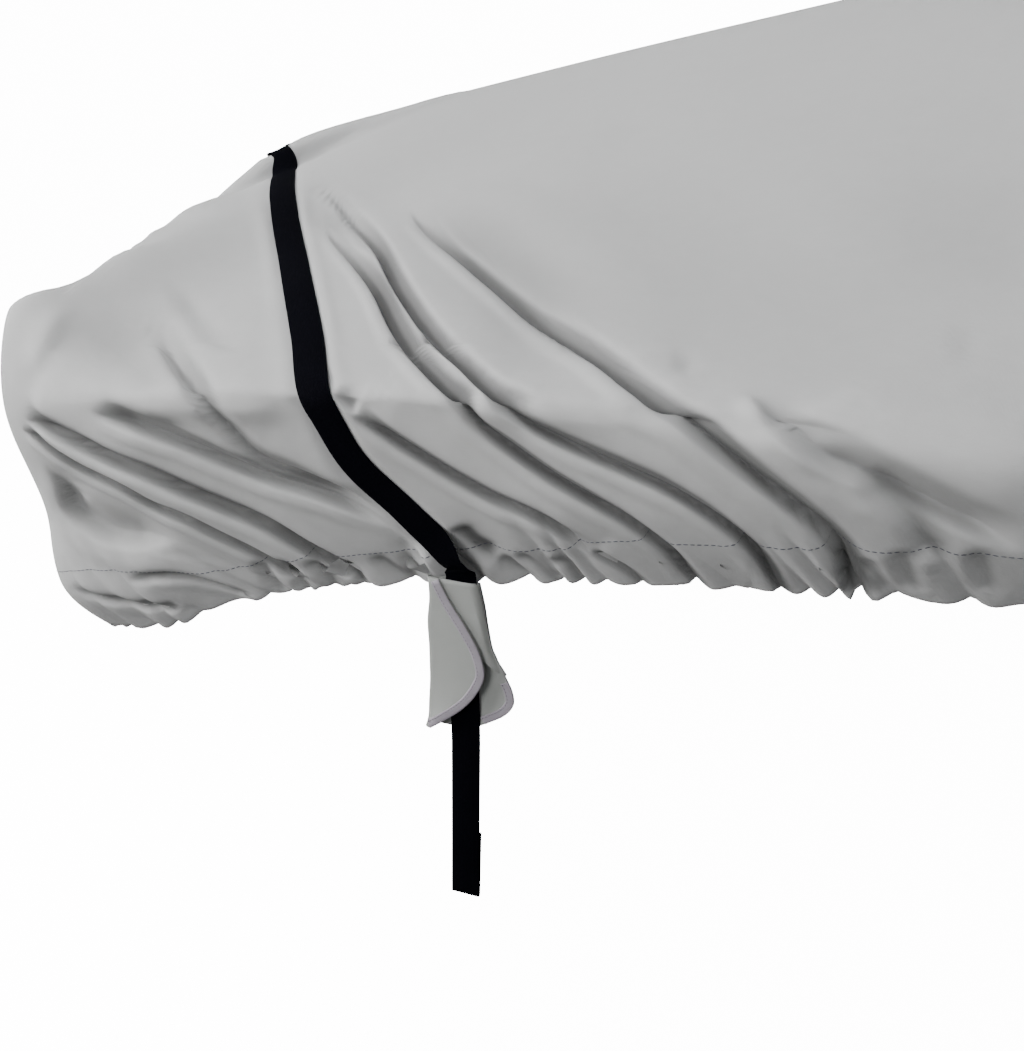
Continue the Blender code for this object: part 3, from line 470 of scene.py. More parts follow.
# ---- folds, gathers, slack
def on_line(points, normals, path, reach):
    """For the points within reach of a path: their numbers, place along it from 0 to 1,
    signed distance (positive above) and the unit vector towards its upper side."""
    low, high = path.min(0) - reach, path.max(0) + reach
    chosen = np.nonzero(np.all((points > low) & (points < high), axis=1))[0]
    p, n = points[chosen], normals[chosen]
    nearest = np.full(len(p), np.inf)
    place, side, up = np.zeros(len(p)), np.zeros(len(p)), np.zeros((len(p), 3))
    reached = lengths(path)
    for k, (a, b) in enumerate(zip(path[:-1], path[1:])):
        length = reached[k + 1] - reached[k]
        t = np.clip((p - a) @ (b - a) / length**2, 0, 1)
        away = p - a - t[:, None] * (b - a)
        away -= np.clip(np.sum(away * n, axis=1, keepdims=True), -OFF_PATH, OFF_PATH) * n
        gap = np.linalg.norm(away, axis=1)
        closer = gap < nearest
        upward = np.cross(n, (b - a) / length)
        nearest = np.where(closer, gap, nearest)
        place = np.where(closer, (reached[k] + t * length) / reached[-1], place)
        side = np.where(closer, np.sign(np.sum(upward * away, axis=1)), side)
        up = np.where(closer[:, None], upward, up)
    return chosen, place, side * nearest, up


def across_fold(f, d):
    """Height and shade of a fold at the signed distances d from its line."""
    above, below, depth, ridge = f["above"], f["below"], f["depth"], f["ridge"]
    under = np.clip(1 + d / below, 0, 1) ** 2
    if ridge:
        ramp = np.log1p(np.exp(RIDGE_SHARP * np.clip(1 - d / above, -9, 3))) / RIDGE_SHARP
        crown = bell(np.clip(d / above - 1, 0, 9), CROWN)
        height = ridge * crown - (depth + ridge) * ramp
        end, soft = SHADE_ENDS
        shade = eased((end - d / above) / soft)
    else:
        height = -depth * bell(d, above)
        middle, width = SHADE_SOFT
        shade = bell(d - middle * above, width * above)
    steep = ridge or below < above / 2
    height = np.where(d > 0, height, -depth * (under if steep else bell(d, below)))
    lip = depth * LIP * bell(d + LIP_AT * below, below)
    return height + lip, np.where(d > 0, shade, under)


def fold_cloth(flat, normals):
    """Height of the folds along the normals, their sideways lean and their painted shade."""
    height, crease = np.zeros(len(flat)), np.zeros(len(flat))
    shift = np.zeros_like(flat)
    for fold in FOLDS:
        f = dict(zip(FOLD_COLUMNS, fold))
        run, row = np.array(f["line"]).T
        hand = 1 if run[0] >= 0 else -1
        chosen, place, d, up = on_line(flat, normals, spline(cover_points(run, row), FOLD_STEP),
                                       FOLD_REACH * max(f["above"], f["below"]))
        d, up = d * hand, up * hand
        ends = np.ones(len(d))
        if f["rise"]:
            ends *= rising(place, 0, f["rise"])
        if f["fall"]:
            ends *= rising(1 - place, 0, f["fall"])
        ends = eased(ends)
        shape, shade = across_fold(f, d)
        height[chosen] += ends * shape
        lean = ends * f["lean"] * bell(d + LEAN_AT * f["below"], f["below"])
        shift[chosen] += lean[:, None] * up
        # painted shade in the fold, kept at the darkest that any fold gives
        if f["depth"] > 0:
            crease[chosen] = np.maximum(crease[chosen], ends * shade * f["shade"])
    return height, shift, np.clip(crease, 0, 1)


def gather(hem_run, row):
    """Puffs that the elastic draws into the hem, and how far they hang or rise."""
    turn = hem_run * 2 * math.pi
    drift = sum(size * np.sin(turn / length + start) for size, length, start in GATHER_DRIFT)
    wave = np.sin(math.pi * (hem_run / GATHER + drift))
    puff = np.sqrt(wave ** 2 + GATHER_SEAM) - GATHER_MEAN
    mean, change, length, start = GATHER_SIZE
    puff *= mean + change * np.sin(turn / length + start)
    low, hem, least = GATHER_GROWN
    grow = eased(row, *GATHER_TOP) * (least + (1 - least) * rising(row, low, hem))
    return puff * grow, puff * rising(row, *HEM_ROWS) ** 2


def slack(flat):
    """Broad unevenness of the cloth and the small crumple that it keeps."""
    return sum(np.array([noise.noise(Vector(p) * waves + Vector(place)) for p in flat]) * size
               for waves, size, place in SLACK)


# ---- the folded cover
def columns_of(hand):
    """Run of each column at rows 0 to 5, from the stern to the bow, on one half."""
    share = 1 if hand > 0 else PORT_SHARE
    steps = [(count, np.array(line)) for count, line in GRAIN] + [(GRAIN_TO_BOW, BOW_RUN)]
    return divided([(max(3, round(count * share)), line) for count, line in steps],
                   np.zeros(6)) * hand


def webbing_guide():
    """The webbing's guide points from the port hem over the cover to the starboard hem."""
    guide = np.array(WEBBING_OVER)
    return np.vstack([guide[:0:-1] * (1, -1, 1), guide])


def face_out(normal, row):
    """Outward unit normals of the unfolded cover, evened out where its ribs run close."""
    normal[:, 0] = (0, 0, np.median(np.linalg.norm(normal[:, 1], axis=1)))
    normal *= np.sign(np.sum(normal[:, row[0] < TOP_ROWS, 2])) or 1.0
    normal[(row < TOP_ROWS) & (normal[..., 2] < 0)] *= 0.0
    for _ in range(NORMAL_PASSES):
        normal = (np.roll(normal, 1, 0) + 2 * normal + np.roll(normal, -1, 0)) / 4
        normal[:, 1:-1] = evened(normal.swapaxes(0, 1)).swapaxes(0, 1)
    return unit(normal).reshape(-1, 3)


def ease_rim(grid, run, row):
    """Round off the bend over the gunwale where the cloth isn't pulled tight over it."""
    (top, bottom), (top_fade, bottom_fade) = RIM_ROWS, RIM_FADES
    share = rising(np.abs(run), *RIM_RUNS)
    share = share * rising(row, top, top + top_fade) * rising(row, bottom, bottom - bottom_fade)
    for _ in range(RIM_PASSES):
        middle = (grid[:, :-2] + grid[:, 2:]) / 2
        grid[:, 1:-1] += (middle - grid[:, 1:-1]) * share[:, 1:-1, None] * RIM_EASE
    return grid


def flat_cover(run, row):
    """Points and outward normals of the unfolded cover on a grid of columns and rows."""
    runs, places = run.ravel(), row.ravel()
    flat = ease_rim(cover_points(runs, places).reshape(*run.shape, 3), run, row)
    along = cover_points(runs + NUDGE, places) - cover_points(runs - NUDGE, places)
    down = (cover_points(runs, np.minimum(places + NUDGE, 5))
            - cover_points(runs, np.maximum(places - NUDGE, 0)))
    return flat.reshape(-1, 3), face_out(np.cross(along, down).reshape(*run.shape, 3), row)


def under_webbing(flat, normal):
    """How far the webbing calms the cloth and how deep it presses in."""
    calm, sink = np.zeros(len(flat)), np.zeros(len(flat))
    chosen, _, d, _ = on_line(flat, normal, spline(webbing_guide(), GUIDE_STEP), GUIDE_REACH)
    d = np.abs(d)
    calm[chosen] = bell(d, CALM_REACH, 4) * WEBBING_CALM
    sink[chosen] = (WEBBING_BANK * bell(d - CALM_REACH, BANK_REACH)
                    - WEBBING_SINK * bell(d, SINK_REACH, 6))
    return calm, sink


def cover_grid():
    """Folded points of the cover, (columns, rows, 3), and what its cloth needs."""
    starboard, port = columns_of(1), columns_of(-1)
    lines = np.vstack([starboard, port[-2:0:-1]])
    rows = divided(ROW_STEPS, 0.0)
    run = np.array([smooth_column(np.arange(6.0), line, rows) for line in lines])
    row = np.tile(rows, (len(lines), 1))
    flat, normal = flat_cover(run, row)
    hem_run, run_at, row = np.repeat(run[:, -1], len(rows)), run.ravel(), row.ravel()

    height, shift, crease = fold_cloth(flat, normal)
    calm, sink = under_webbing(flat, normal)
    top, hem, share = HEM_HOLD
    free = 1 - rising(row, top, hem) * share
    height, shift = height * free, shift * free[:, None]
    belly = bell(np.abs(run_at) - BELLY_RUN, BELLY_HALF)
    height += belly * (BELLY_SWELL * bell(row - BELLY_ROW, BELLY_HIGH)
                       - BELLY_UNDER * rising(row, *HEM_ROWS) ** 2)
    puff, hang = gather(hem_run, row)
    height = height * (1 - calm) + sink + slack(flat) * np.clip(row, 0, 1)
    height += GATHER_HIGH * puff * (1 - GATHER_CALM * calm)
    shift = shift * (1 - calm)[:, None]
    shift[:, 2] -= GATHER_SCALLOP * hang + HEM_SAG * belly * rising(row, *SAG_ROWS)
    points = flat + normal * height[:, None] + shift
    worn = rising(height, 0, LIGHTER_HIGH) * rising(row, *LIGHTER_ROWS)
    shape = (len(lines), len(rows))
    return (points.reshape(*shape, 3), normal.reshape(*shape, 3), crease.reshape(shape),
            worn.reshape(shape), run, rows, len(starboard) - 1)


def turn_in(points, normal):
    """The hem's casing: the cloth goes round the elastic and up inside."""
    down = unit(points[:, -1] - points[:, -2])
    out = normal[:, -1]
    out = unit(out - np.sum(out * down, axis=1, keepdims=True) * down)
    centre = points[:, -1] - out * CASING_RADIUS
    turns = [math.pi * k / CASING_TURN for k in range(1, CASING_TURN + 1)]
    rows = [centre + CASING_RADIUS * (out * math.cos(a) + down * math.sin(a)) for a in turns]
    rows += [rows[-1] - down * CASING_DEPTH * k / CASING_UP for k in range(1, CASING_UP + 1)]
    return np.concatenate([points, np.stack(rows, 1)], 1)


# ---- mesh helpers
def add_mesh(name, points, faces, finish, corner_uv=None, **point_values):
    """A smooth-shaded object; corner_uv has one (u, v) for each corner of each face."""
    mesh = bpy.data.meshes.new(name)
    mesh.from_pydata([tuple(p) for p in points], [], [tuple(f) for f in faces])
    made = bpy.data.objects.new(name, mesh)
    bpy.context.scene.collection.objects.link(made)
    if corner_uv is not None:
        layer = mesh.uv_layers.new(name="weave")
        layer.data.foreach_set("uv", np.asarray(corner_uv, np.float32).ravel())
    for key, values in point_values.items():
        held = mesh.attributes.new(key, "FLOAT", "POINT")
        held.data.foreach_set("value", np.asarray(values, np.float32))
    mesh.materials.append(finish)
    mesh.shade_smooth()
    return made


def face_towards(made, face, direction):
    """Turn the mesh's faces round if this one of them looks away from the direction."""
    if face.normal.dot(Vector(direction)) < 0:
        made.data.flip_normals()


def add_sheet(name, points, uvs, faces, side, thickness, finish, **point_values):
    """A sheet that hangs at this side and is thickened inwards; uvs has one for each point."""
    corner_uv = [uvs[c] for face in faces for c in face]
    made = add_mesh(name, points, faces, finish, corner_uv, **point_values)
    face_towards(made, made.data.polygons[0], (0, side, 0))
    step = made.modifiers.new("thickness", "SOLIDIFY")
    step.thickness, step.offset = thickness, -1
    bpy.ops.object.select_all(action="DESELECT")
    made.select_set(True)
    bpy.context.view_layer.objects.active = made
    bpy.ops.object.modifier_apply(modifier=step.name)
    return made


def strip(sections, across):
    """Faces of an open strip of `sections` rows with `across` points each."""
    return [(i * across + j, i * across + j + 1, (i + 1) * across + j + 1, (i + 1) * across + j)
            for i in range(sections - 1) for j in range(across - 1)]


def finish_piece(made, slot, *nodes):
    """What every piece of the cover says to the frame."""
    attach(made, BODY)
    if nodes:
        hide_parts(*nodes)
    return made


# ---- shader helpers
class Value:
    """A shader socket; arithmetic on it adds Math nodes."""

    def __init__(self, shader, socket):
        self.shader, self.socket = shader, socket

    def math(self, operation, *others):
        inputs = dict(enumerate((self, *others)))
        return self.shader.add("ShaderNodeMath", inputs, operation=operation)

    def __add__(self, other):
        return self.math("ADD", other)

    def __sub__(self, other):
        return self.math("SUBTRACT", other)

    def __mul__(self, other):
        return self.math("MULTIPLY", other)

    def __truediv__(self, other):
        return self.math("DIVIDE", other)

    def __rsub__(self, other):
        return self.shader.add("ShaderNodeMath", {0: other, 1: self}, operation="SUBTRACT")

    __radd__, __rmul__ = __add__, __mul__

    def clamp(self):
        return self.math("MAXIMUM", 0.0).math("MINIMUM", 1.0)

    def ribs(self, pitch):
        """Rounded ribs, from 0 to 1, at this pitch."""
        return (self / pitch * math.pi).math("SINE").math("ABSOLUTE")


class Shader:
    """A new material and the nodes that are added to it."""

    def __init__(self, name, roughness, sheen=0.0, specular=0.5):
        self.material = bpy.data.materials.new(name)
        self.material.use_nodes = True
        self.tree = self.material.node_tree
        self.surface = self.tree.nodes["Principled BSDF"]
        self.surface.inputs["Roughness"].default_value = roughness
        self.surface.inputs["Sheen Weight"].default_value = sheen
        self.surface.inputs["Sheen Roughness"].default_value = 0.6
        self.surface.inputs["Specular IOR Level"].default_value = specular

    def put(self, socket, value):
        if isinstance(value, Value):
            self.tree.links.new(value.socket, socket)
        elif hasattr(value, "__len__") and socket.type == "RGBA":
            socket.default_value = (*value, 1.0)
        else:
            socket.default_value = value

    def add(self, kind, inputs=(), output=0, **settings):
        node = self.tree.nodes.new(kind)
        for key, value in settings.items():
            setattr(node, key, value)
        for key, value in dict(inputs).items():
            self.put(node.inputs[key], value)
        return Value(self, node.outputs[output])

    def mix(self, share, first, second):
        """Colour between first and second."""
        node = self.tree.nodes.new("ShaderNodeMix")
        node.data_type = "RGBA"
        for socket, value in zip((node.inputs[0], node.inputs[6], node.inputs[7]),
                                 (share, first, second)):
            self.put(socket, value)
        return Value(self, node.outputs[2])

    def noise(self, where, scale, detail):
        return self.add("ShaderNodeTexNoise",
                        {"Vector": where, "Scale": scale, "Detail": detail, "Roughness": 0.55})

    def place(self):
        """Object coordinates."""
        return self.add("ShaderNodeTexCoord", output="Object")

    def weave_uv(self):
        """The weave map and its u and v, in metres."""
        uv = self.add("ShaderNodeUVMap", uv_map="weave")
        split = self.add("ShaderNodeSeparateXYZ", {0: uv}).socket.node
        return uv, Value(self, split.outputs[0]), Value(self, split.outputs[1])

    def held(self, name):
        """A value that the mesh holds at its points."""
        return self.add("ShaderNodeAttribute", output="Fac", attribute_name=name)

    def finish(self, colour, roughness=None, height=None, distance=0.0003, strength=1.0):
        self.put(self.surface.inputs["Base Color"], colour)
        if roughness is not None:
            self.put(self.surface.inputs["Roughness"], roughness)
        if height is not None:
            bump = self.add("ShaderNodeBump",
                            {"Strength": strength, "Distance": distance, "Height": height})
            self.put(self.surface.inputs["Normal"], bump)
        return self.material


def plain_weave(u, v, pitch):
    """Height of a plain weave from 0 to 1: threads that cross over and under."""
    over = ((u / pitch).math("FLOOR") + (v / pitch).math("FLOOR")).math("PINGPONG", 1.0)
    return u.ribs(pitch) * (over * 0.6 + 0.4) + v.ribs(pitch) * (1.0 - over * 0.6) * 0.9


def cloth_finish(name, light, dark, pitch):
    """Coated polyester: woven, a little mottled, with painted shade in its folds and lighter where
    it stands out.
    """
    s = Shader(name, 0.78, 0.12, 0.35)
    uv, u, v = s.weave_uv()
    where = s.place()
    weave = plain_weave(u, v, pitch)
    cloud = s.noise(where, 2.3, 4.0)
    mottle = s.noise(where, 38.0, 3.0)
    threads = s.add("ShaderNodeMapping", {"Vector": uv, "Scale": (60.0, 900.0, 1.0)})
    slub = s.noise(threads, 1.0, 2.0)
    fleck = s.noise(where, 1400.0, 1.0)
    tone = (0.5 + (cloud - 0.5) * 0.55 + (mottle - 0.5) * 0.35 + (slub - 0.5) * 0.40
            + (fleck - 0.5) * 0.30 + (weave - 0.6) * 0.18).clamp()
    colour = s.mix(tone, dark, light)
    # painted shade: the cloth's colour is darkened towards near-black in the folds, where shade
    # falls
    crease = s.held("crease")
    colour = s.mix((crease * 0.86).clamp(), colour, tuple(0.12 * c for c in dark))
    # the colour is made lighter where the cloth stands out of its folds
    worn = s.held("worn")
    colour = s.mix((worn * mottle * 0.5).clamp(), colour, tuple(1.15 * c for c in light))
    roughness = 0.72 + (mottle - 0.5) * 0.12 + crease * 0.08
    crumple = s.noise(where, 70.0, 3.0)
    height = weave * 0.35 + slub * 0.25 + fleck * 0.15 + crumple * 1.1
    return s.finish(colour, roughness, height, 0.0006, 0.55)


def webbing_finish():
    """Black polypropylene webbing: fine ribs across it and cords along it."""
    s = Shader("black webbing", 0.75, 0.0, 0.01)
    _, u, v = s.weave_uv()
    where = s.place()
    rib, cord = u.ribs(0.0011), v.ribs(0.0019)
    lint = s.noise(where, 900.0, 2.0)
    wear = s.noise(where, 25.0, 4.0)
    tone = (rib * 0.35 + cord * 0.25 + (lint - 0.5) * 0.6 + (wear - 0.5) * 0.4 + 0.1).clamp()
    colour = s.mix(tone, (0.0006, 0.0006, 0.0014), (0.0036, 0.0036, 0.0062))
    return s.finish(colour, 0.58 + (wear - 0.5) * 0.2, rib * 0.6 + cord * 0.6 + lint * 0.3,
                    0.0005, 0.6)


def tape_finish():
    """Binding tape: fine ribs along its length."""
    s = Shader("binding tape", 0.75, 0.15, 0.3)
    rib = s.weave_uv()[2].ribs(0.0009)
    mottle = s.noise(s.place(), 60.0, 3.0)
    tone = ((mottle - 0.5) * 0.7 + rib * 0.3 + 0.3).clamp()
    colour = s.mix(tone, (0.26, 0.235, 0.27), (0.40, 0.365, 0.41))
    return s.finish(colour, 0.72 + (mottle - 0.5) * 0.15, rib * 0.5 + mottle, 0.0004, 0.6)


def thread_finish(name, colour):
    """Sewing thread."""
    s = Shader(name, 0.55, 0.2, 0.4)
    ply = s.noise(s.place(), 2500.0, 1.0)
    return s.finish(s.mix(ply, tuple(0.6 * c for c in colour), colour), 0.5 + ply * 0.2,
                    ply, 0.0001, 0.5)


# ---- the cover
def make_cover(finish):
    """The one-piece cover as a thin sheet, open below, with its hem turned in."""
    points, normal, crease, worn, run, rows, bow = cover_grid()
    points = turn_in(points, normal)
    inside = ((0, 0), (0, points.shape[1] - len(rows)))
    crease, worn = np.pad(crease, inside), np.pad(worn, inside)
    kept = np.ones(crease.shape, bool)
    kept[bow + 1:, 0] = False
    number = np.cumsum(kept).reshape(kept.shape) - 1
    # the port columns end on the starboard half's crest points that lie nearest
    for i, foot in enumerate(points[bow + 1:, 0, 0], bow + 1):
        number[i, 0] = number[np.argmin(np.abs(points[:bow + 1, 0, 0] - foot)), 0]
    faces = []
    for line, beside in zip(number.tolist(), np.roll(number, -1, 0).tolist()):
        for j in range(len(line) - 1):
            corners = list(dict.fromkeys((line[j], line[j + 1], beside[j + 1], beside[j])))
            if len(corners) > 2:
                faces.append(corners)
    made = add_mesh("cover_cloth", points[kept], faces, finish, crease=crease[kept],
                    worn=worn[kept])
    mesh = made.data
    # the weave lies flat on the top, the sides and the stern
    layer = mesh.uv_layers.new(name="weave")
    for face in mesh.polygons:
        facing = max(range(3), key=lambda axis: abs(face.normal[axis]))
        u, v = (axis for axis in range(3) if axis != facing)
        for corner in face.loop_indices:
            at = mesh.vertices[mesh.loops[corner].vertex_index].co
            layer.data[corner].uv = (at[u], at[v])
    top = max(mesh.polygons, key=lambda face: face.center.z)
    face_towards(made, top, (0, 0, 1))
    return made, points, normal, run, rows


def surface_of(made):
    """Look-up tree of a mesh."""
    mesh = made.data
    return BVHTree.FromPolygons([v.co for v in mesh.vertices],
                                [tuple(face.vertices) for face in mesh.polygons])


# ---- stitches
def make_stitches(name, path, normals, finish, slot, stitch):
    """A row of stitches: small rounded bars along the path, one after another."""
    length, gap, wide, high = stitch
    reached = lengths(path)
    count = int(reached[-1] / (length + gap))
    ends, girths = np.array(STITCH_ENDS).T
    points, faces = [], []

    def read(values, at):
        return np.stack([np.interp(at, reached, column) for column in values.T], -1)

    for s in range(count):
        at = (s + 0.5) * reached[-1] / count + ends * length
        middle, out = read(path, at), unit(read(normals, at))
        across = unit(np.cross(out, unit(middle[-1] - middle[0])))
        start = len(points)
        for p, n, a, girth in zip(middle, out, across, girths):
            for angle in (0, 60, 120, 180):
                c, h = math.cos(math.radians(angle)), math.sin(math.radians(angle))
                points.append(p + a * wide / 2 * c * girth
                              + n * (h * high * girth - STITCH_BEDDED))
        faces += [[start + n for n in face] for face in STITCH_FACES]
    return finish_piece(add_mesh(name, points, faces, finish), slot)


# ---- webbing
def across_of(path, outward):
    """Unit vectors across a strip that runs along `path` with its face to `outward`."""
    return unit(np.cross(np.gradient(path, axis=0), outward))


def lay_on(path, surface):
    """Drop the path onto the surface: its points there and smoothed normals."""
    found = [surface.find_nearest(Vector(p)) for p in path]
    normals = np.array([normal for _, normal, _, _ in found])
    for _ in range(LAID_PASSES):
        normals[1:-1] = evened(normals)
        normals = unit(normals)
    return np.array([spot for spot, _, _, _ in found]), normals


def lift_clear(path, normals, across, surface):
    """How far each section must rise so that the webbing clears the cloth."""
    lift = np.full(len(path), FIRST_LIFT)
    for _ in range(LIFT_PASSES):
        for i, (p, n, a) in enumerate(zip(path, normals, across)):
            for side in (-0.5, -0.25, 0.0, 0.25, 0.5):
                at = Vector(p + a * WEBBING_WIDTH * side + n * lift[i])
                up = Vector(n)
                hit = surface.ray_cast(at + up * 0.05, -up, 0.1)[0]
                if hit is not None:
                    lift[i] += max(0.0, CLEAR - (at - hit).dot(up))
        lift[1:-1] = np.maximum(lift[1:-1], (lift[:-2] + lift[2:]) / 2)
    return lift


def strap_section(width, thick):
    """Outline of a strap across its width: soft edges, flat faces."""
    half, edge = width / 2, thick / 2
    right = [(half - edge + edge * math.cos(a), edge * math.sin(a))
             for a in (-math.pi / 2, -math.pi / 4, 0, math.pi / 4, math.pi / 2)]
    left = [(-x, -y) for x, y in right]
    return [(x, y + edge) for x, y in right + left]


def add_strap(name, path, outward, across, outline, finish):
    """A closed strap along the path: its outline lies across and outwards at each point."""
    around, reached = len(outline), lengths(path)
    points = [p + a * x + n * y for p, n, a in zip(path, outward, across) for x, y in outline]
    faces, uv = [], []
    for i in range(len(path) - 1):
        for j in range(around):
            k = (j + 1) % around
            corners = ((i, j), (i, k), (i + 1, k), (i + 1, j))
            faces.append([s * around + c for s, c in corners])
            uv += [(reached[s], outline[c][0]) for s, c in corners]
    ring = list(range(around))
    last = (len(path) - 1) * around
    faces += [ring[::-1], [last + c for c in ring]]
    uv += [(0.0, outline[c][0]) for c in ring[::-1]]
    uv += [(reached[-1], outline[c][0]) for c in ring]
    made = add_mesh(name, points, faces, finish, uv)
    first = made.data.polygons[0]
    face_towards(made, first, first.center - Vector(path[0] + outward[0] * outline[2][1]))
    return made


def hanging_webbing(top, side):
    """From the hem down the hull side, with the end folded up behind itself."""
    sideways = np.array((1, -side, 1))
    down = spline([top * sideways, *WEBBING_DOWN], WEBBING_STEP)[1:]
    outward = [(0, -1, 0)] * len(down)
    end, turned = down[-1], []
    for angle in np.linspace(0, math.pi, TURN_STEPS + 1)[1:]:
        c, s = math.cos(angle), math.sin(angle)
        turned.append(end + (0, TURN_RADIUS * (1 - c), -TURN_RADIUS * s))
        outward.append((0, -c, -s))
    end = turned[-1]
    for share in np.linspace(0, 1, BACK_STEPS + 1)[1:]:
        turned.append(end + (SIDE_STEP * share, 0, TURNED_BACK * share))
        outward.append((0, 1, 0))
    return np.vstack([down, turned]) * sideways, np.array(outward) * sideways


def make_webbing(cover, finish):
    """One webbing from the port end, over the cover, to the starboard end; its length too."""
    surface = surface_of(cover)
    over, over_out = lay_on(spline(webbing_guide(), WEBBING_STEP), surface)
    for _ in range(STRAIGHT_PASSES):
        over[1:-1] = evened(over)
    over += over_out * lift_clear(over, over_out, across_of(over, over_out), surface)[:, None]
    port, port_out = hanging_webbing(over[0], 1)
    starboard, starboard_out = hanging_webbing(over[-1], -1)
    path = np.vstack([port[::-1], over, starboard])
    outward = np.vstack([port_out[::-1], over_out, starboard_out])
    outline = strap_section(WEBBING_WIDTH, WEBBING_THICK)
    made = add_strap("webbing_strap", path, outward, across_of(path, outward), outline, finish)
    return finish_piece(made, "webbing", "webbing"), lengths(path)[-1]


# ---- flaps
def flap_at(drops):
    """The flap's table read at the drops: rows of drop, fold, front edge, back edge."""
    table = np.array(FLAP).T
    return np.stack([drops] + [smooth_column(table[0], column, drops) for column in table[1:]],
                    -1)


def flap_place(x, out, drop, side):
    """A point of a flap, from its offset along the hull, outwards and down."""
    hull_y = -WEBBING_DOWN[-1][1] * side
    return (FLAP_CENTRE + x, hull_y + out * side, FLAP_TOP - drop)


def front_bulge(x, drop, fold, edge):
    """How far the front leaf stands out: slack over the webbing, curled at its edge."""
    share = (x - fold) / max(edge - fold, 1e-4)
    loose = SLACK_OUT * math.sin(math.pi * rising(share) * SLACK_ARC)
    return (loose + EDGE_OUT * share**2) * drop / FLAP_DROP


def back_curl(share, drop):
    """How far the back leaf curls out near its free edge."""
    return CURL_OUT * drop / FLAP_DROP * rising(share, CURL_FROM) * math.sin(CURL_ARC * share)


def flap_leaves(drop, fold, front, back):
    """A flap's section at one drop: front leaf, fold and back leaf, as (x, out)."""
    bend, middle = (FLAP_FRONT_Y - FLAP_BACK_Y) / 2, (FLAP_FRONT_Y + FLAP_BACK_Y) / 2
    turn = fold + bend
    section = [(x, FLAP_FRONT_Y + front_bulge(x, drop, fold, front))
               for x in np.linspace(front, turn, FLAP_FRONT + 1)]
    grow = front_bulge(turn, drop, fold, front)
    for a in np.linspace(0, math.pi, FLAP_BEND + 1)[1:-1]:
        section.append((turn - (bend + grow / 2) * math.sin(a),
                        middle + bend * math.cos(a) + grow * (0.5 + 0.5 * math.cos(a))))
    section += [(turn + (back - turn) * share, FLAP_BACK_Y + back_curl(share, drop))
                for share in np.linspace(0, 1, FLAP_BACK + 1)]
    return section


def flap_over(drop, front, back):
    """The turned-over top of the back leaf at one drop, as (x, out, distance from the edge)."""
    keep = 1 - eased(drop, *OVER_ENDS)
    reach = OVER_LEAST + (back - front + OVER_UNDER) * keep
    shares = np.linspace(0, 1, FLAP_OVER + 1)[1:]
    roll = OVER_ROLL * keep * np.sin(math.pi * rising(OVER_ROLLED * shares))
    rise = (OVER_Y - FLAP_BACK_Y) * eased(reach, 0, OVER_RISE_LEAST)
    beyond = reach * shares
    return zip(back + roll - beyond, FLAP_BACK_Y + rise * eased(beyond, 0, OVER_RISE), beyond)


def make_flap(side_name, side, finish):
    """The wrapped cloth over the webbing's joint: front leaf, fold, back leaf."""
    levels = flap_at(np.linspace(0, FLAP_DROP, FLAP_LEVELS))
    points, uvs = [], []
    for drop, fold, front, back in levels:
        section = np.array(flap_leaves(drop, fold, front, back))
        points += [flap_place(x, out, drop, side) for x, out in section]
        uvs += [(reached, drop) for reached in lengths(section)]
    across = len(section)
    faces = strip(len(levels), across)
    rows = []
    for i, (drop, _, front, back) in enumerate(levels[levels[:, 0] <= OVER_ENDS[1]]):
        edge = i * across + across - 1
        rows.append([edge, *range(len(points), len(points) + FLAP_OVER)])
        for x, out, beyond in flap_over(drop, front, back):
            points.append(flap_place(x, out, drop, side))
            uvs.append((uvs[edge][0] + beyond, drop))
    faces += [(upper[k], upper[k + 1], lower[k + 1], lower[k])
              for upper, lower in zip(rows, rows[1:]) for k in range(FLAP_OVER)]
    plain = np.zeros(len(points))
    made = add_sheet(f"flap_{side_name}_cloth", points, uvs, faces, side, FLAP_CLOTH, finish,
                     crease=plain, worn=plain)
    finish_piece(made, "flap_cloth", f"flap_{side_name}")


def make_tape(side_name, leaf, side, finish, thread):
    """Binding along a leaf's free edge, lying on the leaf's outer face, with its stitches."""
    front = leaf == "front"
    first, last = (0.0, FLAP_DROP) if front else BACK_TAPE
    levels = flap_at(np.linspace(first, last, TAPE_LEVELS))
    edge = np.stack([levels[:, 2 if front else 3], -levels[:, 0]], -1)
    reached = lengths(edge)
    along = unit(np.gradient(edge, axis=0))
    inward = np.stack([along[:, 1], -along[:, 0]], -1)
    points, uvs, seam = [], [], []
    for (x, z), n, fold, length in zip(edge, inward, levels[:, 1], reached):
        for k, (width, lift) in enumerate(TAPE_SECTION):
            px, pz = x + n[0] * width, z + n[1] * width
            if front:
                face = FLAP_FRONT_Y + front_bulge(px, -pz, fold, x)
            else:
                share = rising(px, fold, max(x, fold + 1e-4))
                face = FLAP_BACK_Y + FLAP_CLOTH + back_curl(share, -pz)
            out = face + TAPE_GAP + TAPE_THICK * lift
            points.append(flap_place(px, out, -pz, side))
            uvs.append((length, width))
            if k == TAPE_SEAM_ON:
                seam.append(flap_place(x + n[0] * TAPE_SEAM, out, -(z + n[1] * TAPE_SEAM), side))
    faces = strip(len(edge), len(TAPE_SECTION))
    made = add_sheet(f"binding_{leaf}_{side_name}_tape", points, uvs, faces, side, TAPE_BODY,
                     finish)
    finish_piece(made, "binding_tape", f"binding_{leaf}_{side_name}")
    make_stitches(f"binding_{leaf}_{side_name}_stitching", np.array(seam),
                  np.tile((0.0, side, 0.0), (len(seam), 1)), thread, "binding_tape", TAPE_STITCH)


